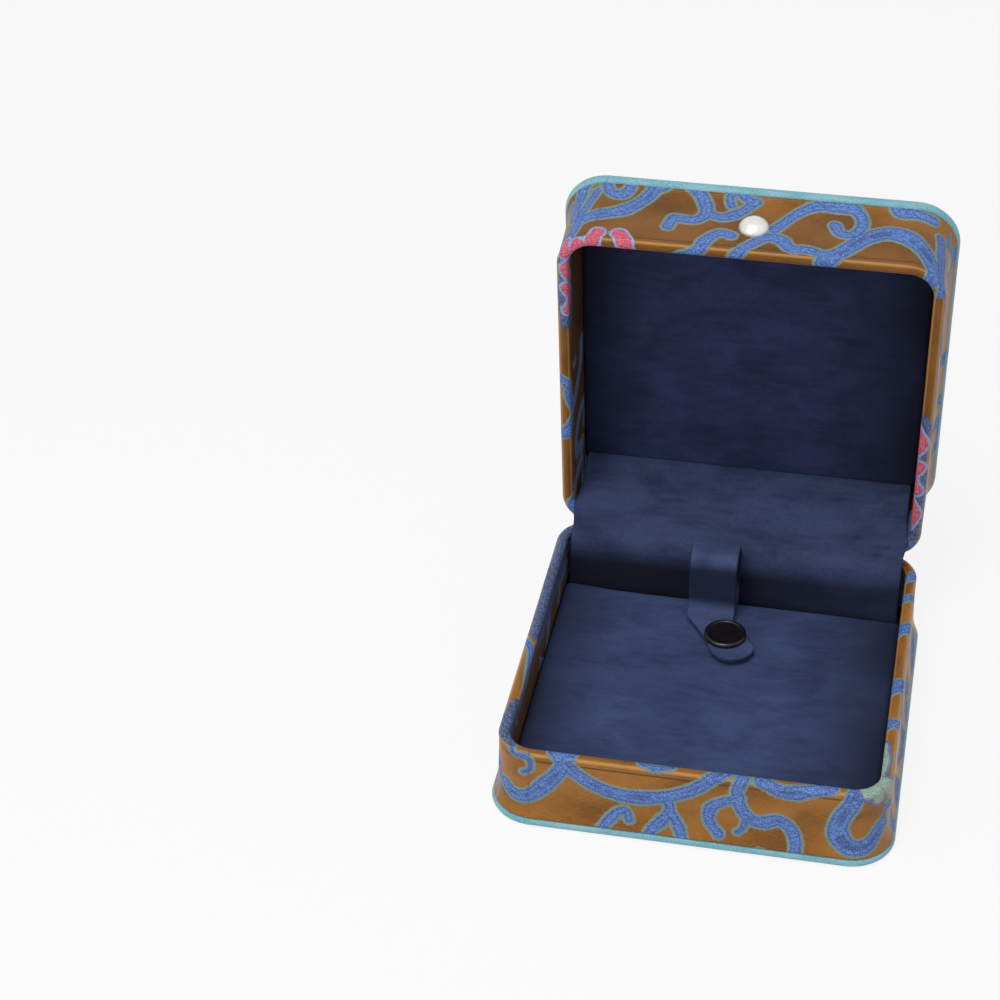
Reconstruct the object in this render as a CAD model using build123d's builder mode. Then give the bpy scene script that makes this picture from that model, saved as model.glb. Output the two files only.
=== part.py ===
"""Brocade jewellery box with a crowned, padded lid, standing open on its hinge stop.

The origin is the middle of the underside, +X to the right, +Y to the rear, +Z up. Sizes are in
millimetres. Both halves are drawn outwards from the seam: t is the distance from the seam plane, down in
the base and up in the lid. The lid's own frame is turned about the hinge axis, so its pieces are drawn
closed and stand open.
"""
from build123d import *
from math import cos, radians, sin, tan
import os

os.makedirs("parts", exist_ok=True)

# Overall sizes
width = 100.0
depth = 100.0
closed_height = 48.0
seam_height = 22.4
corner_radius = 11.4
open_angle = 84.5

# Clearances
glue_line = 0.05
slip = 0.3
seam_gap = 0.3
running = 0.05
overrun = 1.0

# Wall, as insets from the piping's outline
waist_inset = 2.1
flare_inset = 1.75
edge_inset = 0.35
brocade = 0.4
shell_wall = 1.9
shell_plate = 1.2
tuck = 2.0
rim_radius = 1.1
base_flare = 6.3
lid_flare = 4.7
plate_edge_share = 0.65

# Piping
base_piping_radius = 1.1
lid_piping_radius = 1.65
base_piping_lift = 0.3
flange_width = 6.0
flange_thickness = 0.3

# Underside
bottom_cloth_thickness = 0.4
bottom_edge_radius = 0.3

# Pad in the base
pad_depth = 11.4
pad_rear_inset = 16.6
pad_card = 1.5
leatherette = 0.6
pad_edge_radius = 1.1
rear_corner_radius = 1.0

# Panel in the lid
panel_height = 3.05
panel_rear_inset = 11.7
panel_card = 1.2

# Crowned top
crown_rise = 1.0
crown_radius = 800.0
crown_card = 1.0
crown_edge_radius = 2.4

# Hinge
hinge_inset = 3.4
hinge_width = 62.0
knuckle_count = 5
knuckle_gap = 0.3
pin_radius = 0.6
leaf_thickness = 0.5
leaf_height = 12.0
rivet_count = 3
rivet_edge = 4.0
rivet_level = 6.4
rivet_shank_radius = 0.9
rivet_head_radius = 1.5
rivet_head_height = 0.7
rivet_head_edge = 0.4

# Hinge springs
spring_wire_radius = 0.35
spring_bend_radius = 2.0
spring_hook_radius = 0.7
spring_level = 9.0
spring_edge = 11.0

# Hinge flap
flap_thickness = 0.8
flap_side_gap = 1.7
flap_knee_rise = 13.2
flap_knee_set_back = 3.0
flap_knee_radius = 4.0
flap_foot_radius = 3.0
flap_head_radius = 6.0
flap_head_lead = 1.5

# Strap
strap_width = 12.4
strap_thickness = 1.0
strap_centre = -4.2
strap_root = 5.0
strap_foot_radius = 3.0
loop_rise = 18.8
loop_set_back = 3.3
loop_reach = 8.4
loop_lean = 0.3
loop_radius = 4.7
loop_foot_radius = 2.6
tab_lift = 1.8
tab_lead = 10.55
tab_joint_gap = 0.3
tab_end_x = 2.8
tab_end_lead = 21.1
tab_end_radius = 6.1

# Press stud
snap_x = 0.8
snap_lead = 17.9
cap_radius = 5.5
cap_thickness = 1.4
cap_edge_radius = 0.5
cap_dish_radius = 4.3
cap_dish_depth = 0.25
cap_post_radius = 1.4
cap_post_foot_radius = 2.0
cap_post_foot = 0.2
socket_radius = 4.2
socket_bore_radius = 2.3
socket_edge_radius = 0.3
stud_flange_radius = 4.2
stud_flange = 0.4
stud_neck_radius = 1.5
stud_neck = 0.3
stud_head_radius = 1.9
stud_head = 0.6
post_radius = 1.0
post_head_radius = 2.6
post_head = 0.4

# Lift stud on the lid's front
lift_x = -0.1
lift_level = 9.9
lift_radius = 3.75
lift_height = 3.0
lift_edge = 0.9
lift_flat_radius = 1.6
lift_shank_radius = 1.2
washer_radius = 3.2
washer_thickness = 0.35

# Insets that follow from the layers of the wall
half_gap = seam_gap / 2
skin = brocade + glue_line
shell_inset = waist_inset + skin
shell_inner = shell_inset + shell_wall
turned_inner = shell_inner + skin
liner_inset = turned_inner + slip

# Levels, as distances from the seam
base_reach = seam_height - base_piping_lift
lid_reach = closed_height - seam_height
base_piping_level = base_reach - 2 * base_piping_radius
lid_piping_level = lid_reach - 2 * lid_piping_radius
base_plate = base_piping_level - glue_line - shell_plate
lid_plate = lid_piping_level - glue_line - shell_plate
crown_base = lid_piping_level + flange_thickness + glue_line
crown_top = lid_reach + crown_rise
crown_inset = 2 * lid_piping_radius + slip
floor_top = seam_height - base_plate
pad_top = seam_height - pad_depth
panel_depth = lid_plate - panel_height

# Rear edges of the pad and the panel, and the strap's places in front of them
pad_rear = depth / 2 - pad_rear_inset
panel_rear = depth / 2 - panel_rear_inset
tab_joint = pad_rear - tab_lead
tab_end_y = pad_rear - tab_end_lead
snap_y = pad_rear - snap_lead

# Hinge places
hinge_y = depth / 2 - hinge_inset
knuckle_radius = pin_radius + running + leaf_thickness
leaf_front = hinge_y - knuckle_radius
leaf_back = leaf_front + leaf_thickness
leaf_root = knuckle_radius + slip
rivet_spacing = (hinge_width - 2 * rivet_edge) / (rivet_count - 1)
spring_spacing = hinge_width - 2 * spring_edge
bevel_angle = radians(open_angle) / 2

# Frames of the two halves, with z away from the seam
turn = radians(open_angle)
base_frame = Plane(origin=(0, 0, seam_height), x_dir=(-1, 0, 0), z_dir=(0, 0, -1))
lid_frame = Plane(
    origin=(0, hinge_y * (1 - cos(turn)), seam_height + hinge_y * sin(turn)),
    x_dir=(1, 0, 0),
    z_dir=(0, sin(turn), cos(turn)),
)


def within(frame, plane):
    """the plane, placed in a half's own frame"""
    return Plane(frame.location * plane.location)


def opened(y, t):
    """where a place of the lid's frame stands, as (y, z) in the row frame"""
    place = lid_frame.from_local_coords(Vector(0, y, t))
    return (place.Y, place.Z)


def section_plane(frame, y=0):
    """where the wall's section is drawn: x outwards from the piping's outline, y away from the seam"""
    return within(frame, Plane(origin=(-width / 2, y, 0), x_dir=(-1, 0, 0), z_dir=(0, 1, 0)))


def side_plane(frame, x=0):
    """a plane across the box: x to the rear, y away from the seam"""
    return within(frame, Plane.YZ.offset(x))


def front_plane(frame, y):
    """a plane that faces forwards: x across the box, y away from the seam"""
    return within(frame, Plane(origin=(0, y, 0), x_dir=(1, 0, 0), z_dir=(0, -1, 0)))


def nearest_edges(part, frame):
    """the edges of the part's face nearest to the seam"""
    return part.edges().group_by(Axis(frame.origin, frame.z_dir))[0]


def outline_path(frame, inset):
    """the rounded square outline as a closed path, from the middle of one side"""
    x = width / 2 - inset
    y = depth / 2 - inset
    corner = corner_radius - inset
    with BuildLine(frame) as path:
        FilletPolyline((-x, 0), (-x, -y), (x, -y), (x, y), (-x, y), radius=[0] + [corner] * 4, close=True)
    return path.wire()


def rounded_square(inset):
    """the box's outline, drawn in by inset"""
    RectangleRounded(width - 2 * inset, depth - 2 * inset, corner_radius - inset)


def hinge_relief(frame):
    """cut from a rear wall: a bevel that leaves the seam's gap at the stop too, and a seat for the hinge"""
    bevel_y = hinge_y - half_gap * tan(bevel_angle / 2)
    bevel_length = hinge_inset + overrun
    seat_depth = leaf_back + glue_line - depth / 2 + turned_inner + slip
    with BuildPart() as relief:
        with BuildSketch(side_plane(frame)):
            with BuildLine():
                Polyline(
                    (bevel_y, -overrun),
                    (bevel_y + bevel_length, -overrun),
                    (bevel_y + bevel_length, half_gap + bevel_length * tan(bevel_angle)),
                    (bevel_y, half_gap),
                    close=True,
                )
            make_face()
        extrude(amount=width / 2, both=True)
        with BuildSketch(side_plane(frame)):
            with Locations((hinge_y, 0)):
                Circle(knuckle_radius + slip)
            with Locations((leaf_back + glue_line, 0)):
                Rectangle(seat_depth, 2 * (leaf_height + slip), align=(Align.MAX, Align.CENTER))
        extrude(amount=hinge_width / 2 + slip, both=True)
    return relief.part


def brocade_skin(frame, level, flare, liner_level):
    """brocade over the wall: tucked behind the pad inside, over the rim, and flared out to the piping"""
    relief = hinge_relief(frame)
    with BuildPart() as cloth:
        with BuildSketch(section_plane(frame)):
            with BuildLine():
                face = FilletPolyline(
                    (-turned_inner, liner_level + tuck),
                    (-turned_inner, half_gap),
                    (-waist_inset, half_gap),
                    (-flare_inset, level - flare),
                    radius=rim_radius,
                )
                face_end = TangentArc(face @ 1, (-edge_inset, level), tangent=face % 1)
                back = FilletPolyline(
                    (brocade - turned_inner, liner_level + tuck),
                    (brocade - turned_inner, half_gap + brocade),
                    (-waist_inset - brocade, half_gap + brocade),
                    (-flare_inset - brocade, level - flare),
                    radius=rim_radius - brocade,
                )
                back_end = TangentArc(back @ 1, (-edge_inset - brocade, level), tangent=back % 1)
                Line(face @ 0, back @ 0)
                Line(face_end @ 1, back_end @ 1)
            make_face()
        sweep(path=outline_path(frame, waist_inset))
        split(bisect_by=frame.offset(level - slip), keep=Keep.BOTTOM)
        add(relief, mode=Mode.SUBTRACT)
    return cloth


def moulded_shell(frame, level, flare, plate):
    """wall of even thickness under the brocade, closed by a flat plate"""
    relief = hinge_relief(frame)
    with BuildPart() as shell:
        with BuildSketch(section_plane(frame)):
            with BuildLine():
                with BuildLine(mode=Mode.PRIVATE) as face:
                    wall = Line((-waist_inset, half_gap + skin), (-flare_inset, level - flare))
                    TangentArc(wall @ 1, (-edge_inset, level), tangent=wall % 1)
                with BuildLine(mode=Mode.PRIVATE) as backed:
                    offset(face.line, amount=skin, side=Side.LEFT, closed=False)
                offset(backed.line, amount=shell_wall, side=Side.RIGHT)
            make_face()
            fillet(vertices().sort_by(Axis.Y)[:2], rim_radius - skin)
        sweep(path=outline_path(frame, shell_inset))
        split(bisect_by=frame.offset(level - glue_line), keep=Keep.BOTTOM)
        with BuildSketch(frame.offset(plate)):
            rounded_square(edge_inset + skin + plate_edge_share * shell_wall)
        extrude(amount=shell_plate)
        add(relief, mode=Mode.SUBTRACT)
        with BuildSketch(front_plane(frame, depth / 2)):
            with Locations((0, rivet_level)):
                with GridLocations(rivet_spacing, 0, rivet_count, 1):
                    Circle(rivet_shank_radius + running)
        extrude(amount=shell_inner + overrun, mode=Mode.SUBTRACT)
    return shell


def piping(frame, reach, radius):
    """welt round the edge: a cord in its cloth, with the flat flange that is trapped under the panel"""
    with BuildPart() as welt:
        with BuildSketch(section_plane(frame)):
            with Locations((-radius, reach - radius)):
                Circle(radius)
            with Locations((-radius, reach - 2 * radius)):
                Rectangle(radius + flange_width, flange_thickness, align=(Align.MAX, Align.MIN))
        sweep(path=outline_path(frame, radius))
    return welt


def liner_shape(rear, shrink=0):
    """outline of a pad inside the wall: rounded at the front, nearly square at the rear"""
    inset = liner_inset + shrink
    front = depth / 2 - inset
    back = rear - shrink
    with Locations((0, (back - front) / 2)):
        Rectangle(width - 2 * inset, front + back)
    fillet(vertices().group_by(Axis.Y)[0], corner_radius - inset)
    fillet(vertices().group_by(Axis.Y)[-1], rear_corner_radius)


def liner_block(frame, near, far, rear, shrink, edge_radius=0):
    """one block of a pad, with the edge of its face rounded"""
    with BuildPart() as block:
        with BuildSketch(frame.offset(near)):
            liner_shape(rear, shrink)
        extrude(amount=far - near)
        if edge_radius:
            fillet(nearest_edges(block.part, frame), edge_radius)
    return block


def liner_cover(frame, face, back, rear):
    """navy leatherette over a pad's face and down its sides"""
    inner_radius = pad_edge_radius - leatherette
    cover = liner_block(frame, face, back, rear, 0, pad_edge_radius)
    hollow = liner_block(frame, face + leatherette, back + overrun, rear, leatherette, inner_radius)
    with cover:
        add(hollow.part, mode=Mode.SUBTRACT)
    return cover


def crowned(shrink, low):
    """the top panel as a solid: it swells to the middle, rolls over at its edges and is cut flat at low"""
    with BuildPart() as block:
        with BuildSketch(lid_frame.offset(crown_base - crown_edge_radius)):
            rounded_square(crown_inset + shrink)
        extrude(amount=crown_edge_radius + crown_top - crown_base)
        with Locations(lid_frame.offset(crown_top - shrink - crown_radius)):
            Sphere(crown_radius, mode=Mode.INTERSECT)
        crown = block.faces().sort_by(Axis(lid_frame.origin, lid_frame.z_dir))[-1]
        fillet(crown.edges(), crown_edge_radius - shrink)
        split(bisect_by=lid_frame.offset(low), keep=Keep.TOP)
    return block


def hinge_leaf(frame, first):
    """steel leaf on the rear wall, its knuckles rolled round the pin from the given place in the barrel"""
    pitch = (hinge_width + knuckle_gap) / knuckle_count
    with BuildPart() as leaf:
        for place in range(first, knuckle_count, 2):
            with BuildSketch(side_plane(frame, place * pitch - hinge_width / 2)):
                with Locations((hinge_y, 0)):
                    Circle(knuckle_radius)
                with Locations((leaf_front, 0)):
                    Rectangle(leaf_thickness, leaf_root + slip, align=(Align.MIN, Align.MIN))
                with Locations((hinge_y, 0)):
                    Circle(pin_radius + running, mode=Mode.SUBTRACT)
            extrude(amount=pitch - knuckle_gap)
        with BuildSketch(side_plane(frame)):
            with Locations((leaf_front, leaf_root)):
                Rectangle(leaf_thickness, leaf_height - leaf_root, align=(Align.MIN, Align.MIN))
        extrude(amount=hinge_width / 2, both=True)
        with BuildSketch(front_plane(frame, hinge_y)):
            with Locations((0, rivet_level)):
                with GridLocations(rivet_spacing, 0, rivet_count, 1):
                    Circle(rivet_shank_radius + running)
            with Locations((0, spring_level)):
                with GridLocations(spring_spacing, 0, 2, 1):
                    Circle(spring_wire_radius + running)
        extrude(amount=knuckle_radius + overrun, mode=Mode.SUBTRACT)
    return leaf


def hinge_rivets(frame):
    """rivets through a hinge leaf and the shell's rear wall"""
    with BuildPart() as rivets:
        for place in range(rivet_count):
            x = (place - (rivet_count - 1) / 2) * rivet_spacing
            with BuildSketch(front_plane(frame, leaf_front)):
                with Locations((x, rivet_level)):
                    Circle(rivet_head_radius)
            extrude(amount=rivet_head_height)
            with BuildSketch(front_plane(frame, depth / 2 - shell_inset)):
                with Locations((x, rivet_level)):
                    Circle(rivet_shank_radius)
            extrude(amount=depth / 2 - shell_inset - leaf_front)
        heads = rivets.edges().group_by(Axis(frame.origin, frame.y_dir))[0]
        fillet(heads, rivet_head_edge)
    return rivets


def save(piece, name):
    """labels a finished piece and writes it"""
    piece.part.label = name
    export_step(piece.part, f"parts/{name}.step")


# Base wall, floor and piping
base_shell = moulded_shell(base_frame, base_piping_level, base_flare, base_plate)
base_brocade = brocade_skin(base_frame, base_piping_level, base_flare, pad_depth)
base_piping = piping(base_frame, base_reach, base_piping_radius)

# Underside, from the ground up to the piping's flange
underside_inset = 2 * base_piping_radius + slip
underside_top = seam_height - base_piping_level - flange_thickness - glue_line

with BuildPart() as bottom_cloth:
    with BuildSketch(Plane.XY):
        rounded_square(underside_inset)
    extrude(amount=underside_top)
    fillet(bottom_cloth.edges().group_by(Axis.Z)[0], bottom_edge_radius)
    with BuildSketch(Plane.XY.offset(bottom_cloth_thickness)):
        rounded_square(underside_inset + bottom_cloth_thickness)
    extrude(amount=underside_top, mode=Mode.SUBTRACT)

with BuildPart() as bottom_board:
    with BuildSketch(Plane.XY.offset(bottom_cloth_thickness + glue_line)):
        rounded_square(underside_inset + bottom_cloth_thickness + glue_line)
    extrude(amount=underside_top - bottom_cloth_thickness - glue_line)

# Pad in the base, with the press stud's post through it
pad_back = base_plate - glue_line
pad_card_face = pad_back - pad_card
pad_cover = liner_cover(base_frame, pad_depth, pad_back, pad_rear)
pad_foam = liner_block(
    base_frame,
    pad_depth + leatherette + glue_line,
    pad_card_face - glue_line,
    pad_rear,
    leatherette + glue_line,
    pad_edge_radius - leatherette,
)
pad_board = liner_block(base_frame, pad_card_face, pad_back, pad_rear, leatherette + glue_line)

with BuildPart() as post_way:
    with BuildSketch(Plane.XY.offset(floor_top)):
        with Locations((snap_x, snap_y)):
            Circle(post_radius + running)
    extrude(amount=pad_depth)
    with BuildSketch(Plane.XY.offset(floor_top)):
        with Locations((snap_x, snap_y)):
            Circle(post_head_radius + slip)
    extrude(amount=post_head + 2 * glue_line)

for layer in (pad_cover, pad_foam, pad_board):
    with layer:
        add(post_way.part, mode=Mode.SUBTRACT)

# Hinge
hinge_leaf_base = hinge_leaf(base_frame, 0)
hinge_rivets_base = hinge_rivets(base_frame)

with BuildPart() as hinge_pin:
    with BuildSketch(side_plane(base_frame)):
        with Locations((hinge_y, 0)):
            Circle(pin_radius)
    extrude(amount=hinge_width / 2, both=True)

spring_y = hinge_y - spring_bend_radius

with BuildPart() as hinge_springs:
    for x in (-spring_spacing / 2, spring_spacing / 2):
        with BuildLine(Plane.YZ.offset(x)) as wire:
            FilletPolyline(
                (leaf_back, seam_height - spring_level),
                (spring_y, seam_height - spring_level),
                (spring_y, seam_height + spring_bend_radius * tan(turn / 2)),
                opened(spring_y, spring_level),
                opened(leaf_back, spring_level),
                radius=[spring_hook_radius, spring_bend_radius, spring_hook_radius],
            )
        with BuildSketch(Plane(origin=wire.line @ 0, z_dir=wire.line % 0)):
            Circle(spring_wire_radius)
        sweep(path=wire.line)

# Hinge flap, drawn by its visible face from the pad's rear edge to the lid's panel
flap_face_y = pad_rear + strap_thickness + 2 * slip
flap_lid_y = panel_rear + slip

with BuildPart() as hinge_flap:
    with BuildSketch(Plane.YZ):
        with BuildLine():
            with BuildLine(mode=Mode.PRIVATE) as flap_face:
                FilletPolyline(
                    (flap_face_y, floor_top + slip),
                    (flap_face_y, pad_top),
                    (flap_face_y + flap_knee_set_back, pad_top + flap_knee_rise),
                    opened(flap_lid_y, panel_depth - flap_head_lead),
                    opened(flap_lid_y, lid_plate - slip),
                    radius=[flap_foot_radius, flap_knee_radius, flap_head_radius],
                )
            offset(flap_face.line, amount=flap_thickness, side=Side.RIGHT)
        make_face()
    extrude(amount=width / 2 - liner_inset - flap_side_gap, both=True)

# Strap, drawn by the outer face of its loop, which becomes the upper face of the tab
strap_face_y = pad_rear + slip + strap_thickness
tab_under = pad_top + tab_lift
tab_top = tab_under + strap_thickness
loop_top = pad_top + loop_rise
loop_front = strap_face_y - loop_reach

with BuildPart() as strap_loop:
    with BuildSketch(Plane.YZ.offset(strap_centre)):
        with BuildLine():
            with BuildLine(mode=Mode.PRIVATE) as strap_face:
                FilletPolyline(
                    (strap_face_y, pad_top - strap_root),
                    (strap_face_y, pad_top),
                    (strap_face_y + loop_set_back, loop_top),
                    (loop_front, loop_top),
                    (loop_front - loop_lean, tab_top),
                    (tab_joint + tab_joint_gap / 2, tab_top),
                    radius=[strap_foot_radius, loop_radius, loop_radius, loop_foot_radius],
                )
            offset(strap_face.line, amount=strap_thickness, side=Side.LEFT)
        make_face()
    extrude(amount=strap_width / 2, both=True)

with BuildPart() as strap_tab:
    with BuildSketch(Plane.XY.offset(tab_under)):
        root_y = tab_joint - tab_joint_gap / 2
        with BuildLine():
            Line((strap_centre - strap_width / 2, root_y), (strap_centre + strap_width / 2, root_y))
            CenterArc((tab_end_x, tab_end_y), tab_end_radius, 0, 360)
        make_hull()
        with Locations((snap_x, snap_y)):
            Circle(cap_post_radius + running, mode=Mode.SUBTRACT)
    extrude(amount=strap_thickness)

# Press stud: cap and socket on the tab, stud and post on the pad
stud_base = pad_top
stud_top = stud_base + stud_flange + stud_neck + stud_head
snap_section = Plane(origin=(snap_x, snap_y, 0), x_dir=(1, 0, 0), z_dir=(0, -1, 0))
snap_axis = Axis((snap_x, snap_y, 0), (0, 0, 1))

with BuildPart() as snap_cap:
    with BuildSketch(snap_section):
        with BuildLine():
            cap_top = tab_top + cap_thickness
            post_foot_top = tab_under
            Polyline(
                (0, cap_top - cap_dish_depth),
                (cap_dish_radius, cap_top - cap_dish_depth),
                (cap_dish_radius + cap_dish_depth, cap_top),
                (cap_radius, cap_top),
                (cap_radius, tab_top),
                (cap_post_radius, tab_top),
                (cap_post_radius, post_foot_top),
                (cap_post_foot_radius, post_foot_top),
                (cap_post_foot_radius, post_foot_top - cap_post_foot),
                (0, post_foot_top - cap_post_foot),
                close=True,
            )
        make_face()
    revolve(axis=snap_axis)
    rim_edges = snap_cap.edges().filter_by(lambda edge: edge.bounding_box().size.X > 2 * cap_radius - slip)
    fillet(rim_edges.sort_by(Axis.Z)[-1], cap_edge_radius)

with BuildPart() as snap_socket:
    with BuildSketch(Plane.XY.offset(stud_base + stud_flange + slip)):
        with Locations((snap_x, snap_y)):
            Circle(socket_radius)
            Circle(socket_bore_radius, mode=Mode.SUBTRACT)
    extrude(amount=tab_under - stud_base - stud_flange - slip)
    fillet(snap_socket.edges().group_by(Axis.Z)[0], socket_edge_radius)

with BuildPart() as snap_stud:
    with BuildSketch(snap_section):
        with BuildLine():
            neck_base = stud_base + stud_flange
            neck_top = neck_base + stud_neck
            Polyline(
                (post_radius + running, stud_base),
                (stud_flange_radius, stud_base),
                (stud_flange_radius, neck_base),
                (stud_neck_radius, neck_base),
                (stud_neck_radius, neck_top),
                (stud_head_radius, (neck_top + stud_top) / 2),
                (stud_neck_radius, stud_top),
                (post_radius + running, stud_top),
                close=True,
            )
        make_face()
    revolve(axis=snap_axis)

with BuildPart() as snap_post:
    with BuildSketch(Plane.XY.offset(floor_top + glue_line)):
        with Locations((snap_x, snap_y)):
            Circle(post_head_radius)
    extrude(amount=post_head)
    with BuildSketch(Plane.XY.offset(floor_top + glue_line)):
        with Locations((snap_x, snap_y)):
            Circle(post_radius)
    extrude(amount=stud_top - floor_top - glue_line)

# Lid wall, top plate and piping
lid_shell = moulded_shell(lid_frame, lid_piping_level, lid_flare, lid_plate)
lid_brocade = brocade_skin(lid_frame, lid_piping_level, lid_flare, panel_depth)
lid_piping = piping(lid_frame, lid_reach, lid_piping_radius)

with BuildPart() as lift_way:
    with BuildSketch(front_plane(lid_frame, shell_inner - depth / 2)):
        with Locations((lift_x, lift_level)):
            Circle(lift_shank_radius + running)
    extrude(amount=shell_inner + overrun)

with BuildPart() as washer_seat:
    with BuildSketch(front_plane(lid_frame, shell_inner - depth / 2)):
        with Locations((lift_x, lift_level)):
            Circle(washer_radius + running)
    extrude(amount=washer_thickness + glue_line)

for wall in (lid_shell, lid_brocade):
    with wall:
        add(lift_way.part, mode=Mode.SUBTRACT)

with lid_shell:
    add(washer_seat.part, mode=Mode.SUBTRACT)

# Panel inside the lid
panel_back = lid_plate - glue_line
panel_card_face = panel_back - panel_card
lid_panel_cover = liner_cover(lid_frame, panel_depth, panel_back, panel_rear)
lid_panel_foam = liner_block(
    lid_frame,
    panel_depth + leatherette + glue_line,
    panel_card_face - glue_line,
    panel_rear,
    leatherette + glue_line,
    pad_edge_radius - leatherette,
)
lid_panel_board = liner_block(lid_frame, panel_card_face, panel_back, panel_rear, leatherette + glue_line)

# Crowned top, inside the piping
top_brocade = crowned(0, crown_base)
top_hollow = crowned(brocade, crown_base - overrun)
top_foam = crowned(skin, crown_base + crown_card + glue_line)
top_board = crowned(skin, crown_base)

with top_brocade:
    add(top_hollow.part, mode=Mode.SUBTRACT)

with top_board:
    split(bisect_by=lid_frame.offset(crown_base + crown_card), keep=Keep.BOTTOM)

# Lid's half of the hinge
hinge_leaf_lid = hinge_leaf(lid_frame, 1)
hinge_rivets_lid = hinge_rivets(lid_frame)

# Lift stud, its shank through the front wall into a washer
wall_lean = (waist_inset - flare_inset) / (lid_piping_level - lid_flare)
lift_face = depth / 2 - waist_inset + wall_lean * (lift_level + lift_radius) + running
stud_plane = within(lid_frame, Plane(origin=(lift_x, 0, lift_level), x_dir=(1, 0, 0), z_dir=(0, -1, 0)))
stud_section = Plane(origin=stud_plane.origin, x_dir=stud_plane.x_dir, z_dir=-stud_plane.y_dir)
shank_end = depth / 2 - shell_inner

with BuildPart() as lift_stud:
    with BuildSketch(stud_section):
        with BuildLine():
            Polyline(
                (lift_flat_radius, lift_face + lift_height),
                (0, lift_face + lift_height),
                (0, shank_end),
                (lift_shank_radius, shank_end),
                (lift_shank_radius, lift_face),
                (lift_radius, lift_face),
                (lift_radius, lift_face + lift_edge),
            )
            TangentArc(
                (lift_flat_radius, lift_face + lift_height),
                (lift_radius, lift_face + lift_edge),
                tangent=(1, 0),
            )
        make_face()
    revolve(axis=Axis(stud_plane.origin, stud_plane.z_dir))

with BuildPart() as lift_stud_washer:
    with BuildSketch(stud_plane.offset(shank_end)):
        Circle(washer_radius)
        Circle(lift_shank_radius + running, mode=Mode.SUBTRACT)
    extrude(amount=washer_thickness)

pieces = {
    "base_shell": base_shell,
    "base_brocade": base_brocade,
    "base_piping": base_piping,
    "bottom_cloth": bottom_cloth,
    "bottom_board": bottom_board,
    "pad_cover": pad_cover,
    "pad_foam": pad_foam,
    "pad_board": pad_board,
    "hinge_leaf_base": hinge_leaf_base,
    "hinge_rivets_base": hinge_rivets_base,
    "hinge_pin": hinge_pin,
    "hinge_springs": hinge_springs,
    "hinge_flap": hinge_flap,
    "strap_loop": strap_loop,
    "strap_tab": strap_tab,
    "snap_cap": snap_cap,
    "snap_socket": snap_socket,
    "snap_stud": snap_stud,
    "snap_post": snap_post,
    "lid_shell": lid_shell,
    "lid_brocade": lid_brocade,
    "lid_piping": lid_piping,
    "lid_panel_cover": lid_panel_cover,
    "lid_panel_foam": lid_panel_foam,
    "lid_panel_board": lid_panel_board,
    "top_brocade": top_brocade,
    "top_foam": top_foam,
    "top_board": top_board,
    "hinge_leaf_lid": hinge_leaf_lid,
    "hinge_rivets_lid": hinge_rivets_lid,
    "lift_stud": lift_stud,
    "lift_stud_washer": lift_stud_washer,
}
for name, piece in pieces.items():
    save(piece, name)
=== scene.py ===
import math
import bpy
import numpy as np
from mathutils import Matrix, Vector


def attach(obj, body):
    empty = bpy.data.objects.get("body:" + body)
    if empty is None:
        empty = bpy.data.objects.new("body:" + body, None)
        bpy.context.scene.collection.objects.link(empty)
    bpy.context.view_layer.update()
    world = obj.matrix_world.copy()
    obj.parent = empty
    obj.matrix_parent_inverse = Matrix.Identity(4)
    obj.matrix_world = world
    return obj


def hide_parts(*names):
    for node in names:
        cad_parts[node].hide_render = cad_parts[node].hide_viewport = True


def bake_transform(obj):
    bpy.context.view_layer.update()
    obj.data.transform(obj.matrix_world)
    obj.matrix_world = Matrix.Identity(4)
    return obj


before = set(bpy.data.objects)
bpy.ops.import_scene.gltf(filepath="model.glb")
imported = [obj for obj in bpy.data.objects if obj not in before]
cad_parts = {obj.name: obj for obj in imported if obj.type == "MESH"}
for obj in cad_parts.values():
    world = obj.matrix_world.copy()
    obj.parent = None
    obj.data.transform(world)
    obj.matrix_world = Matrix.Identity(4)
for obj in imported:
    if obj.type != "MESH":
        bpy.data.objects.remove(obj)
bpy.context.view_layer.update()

scene = bpy.context.scene
scene.view_settings.view_transform = "Standard"
MM = 0.001

# Sizes that the cloth shares with the solids, in millimetres
HALF = 50.0  # half the width
CORNER = 11.4
SEAM = 22.4
HALF_GAP = 0.15  # from the seam to either rim
HINGE_Y = 46.6
HINGE_HALF = 31.4  # half the hinge's length, with its play
OPEN = math.radians(84.5)
LINER = 5.2  # inset of the pads
INNER, WAIST = 4.9, 2.1  # insets of the wall's cloth inside, and outside at the seam
FLARE, EDGE = 1.75, 0.35  # its insets where the wall begins to flare and where it ends
TOP_INSET = 3.62
# each half's wall: its height, the part of it that flares, and how deep its cloth is tucked in
BASE_LEVEL, BASE_FLARE, BASE_TUCK = 19.9, 6.3, 13.4
LID_LEVEL, LID_FLARE, LID_TUCK = 22.3, 4.7, 20.0
BASE_CORD, LID_CORD = 1.1, 1.65  # radii of the welts
REPEAT = 92  # the top's pattern starts again after this length
FAR = 9.0  # the distance where no stroke is near


def opened(P):
    """closed places, in mm, turned about the hinge to where the lid stands"""
    P = np.asarray(P, float)
    y, z = P[..., 1] - HINGE_Y, P[..., 2] - SEAM
    out = P.copy()
    out[..., 1] = y * math.cos(OPEN) + z * math.sin(OPEN) + HINGE_Y
    out[..., 2] = -y * math.sin(OPEN) + z * math.cos(OPEN) + SEAM
    return out


def in_base(P):
    """x, y and the distance t from the seam become a place in the base"""
    return np.stack([P[..., 0], P[..., 1], SEAM - P[..., 2]], -1)


def in_lid(P):
    """x, y and the distance t from the seam become a place in the open lid"""
    return opened(np.stack([P[..., 0], P[..., 1], SEAM + P[..., 2]], -1))


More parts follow.
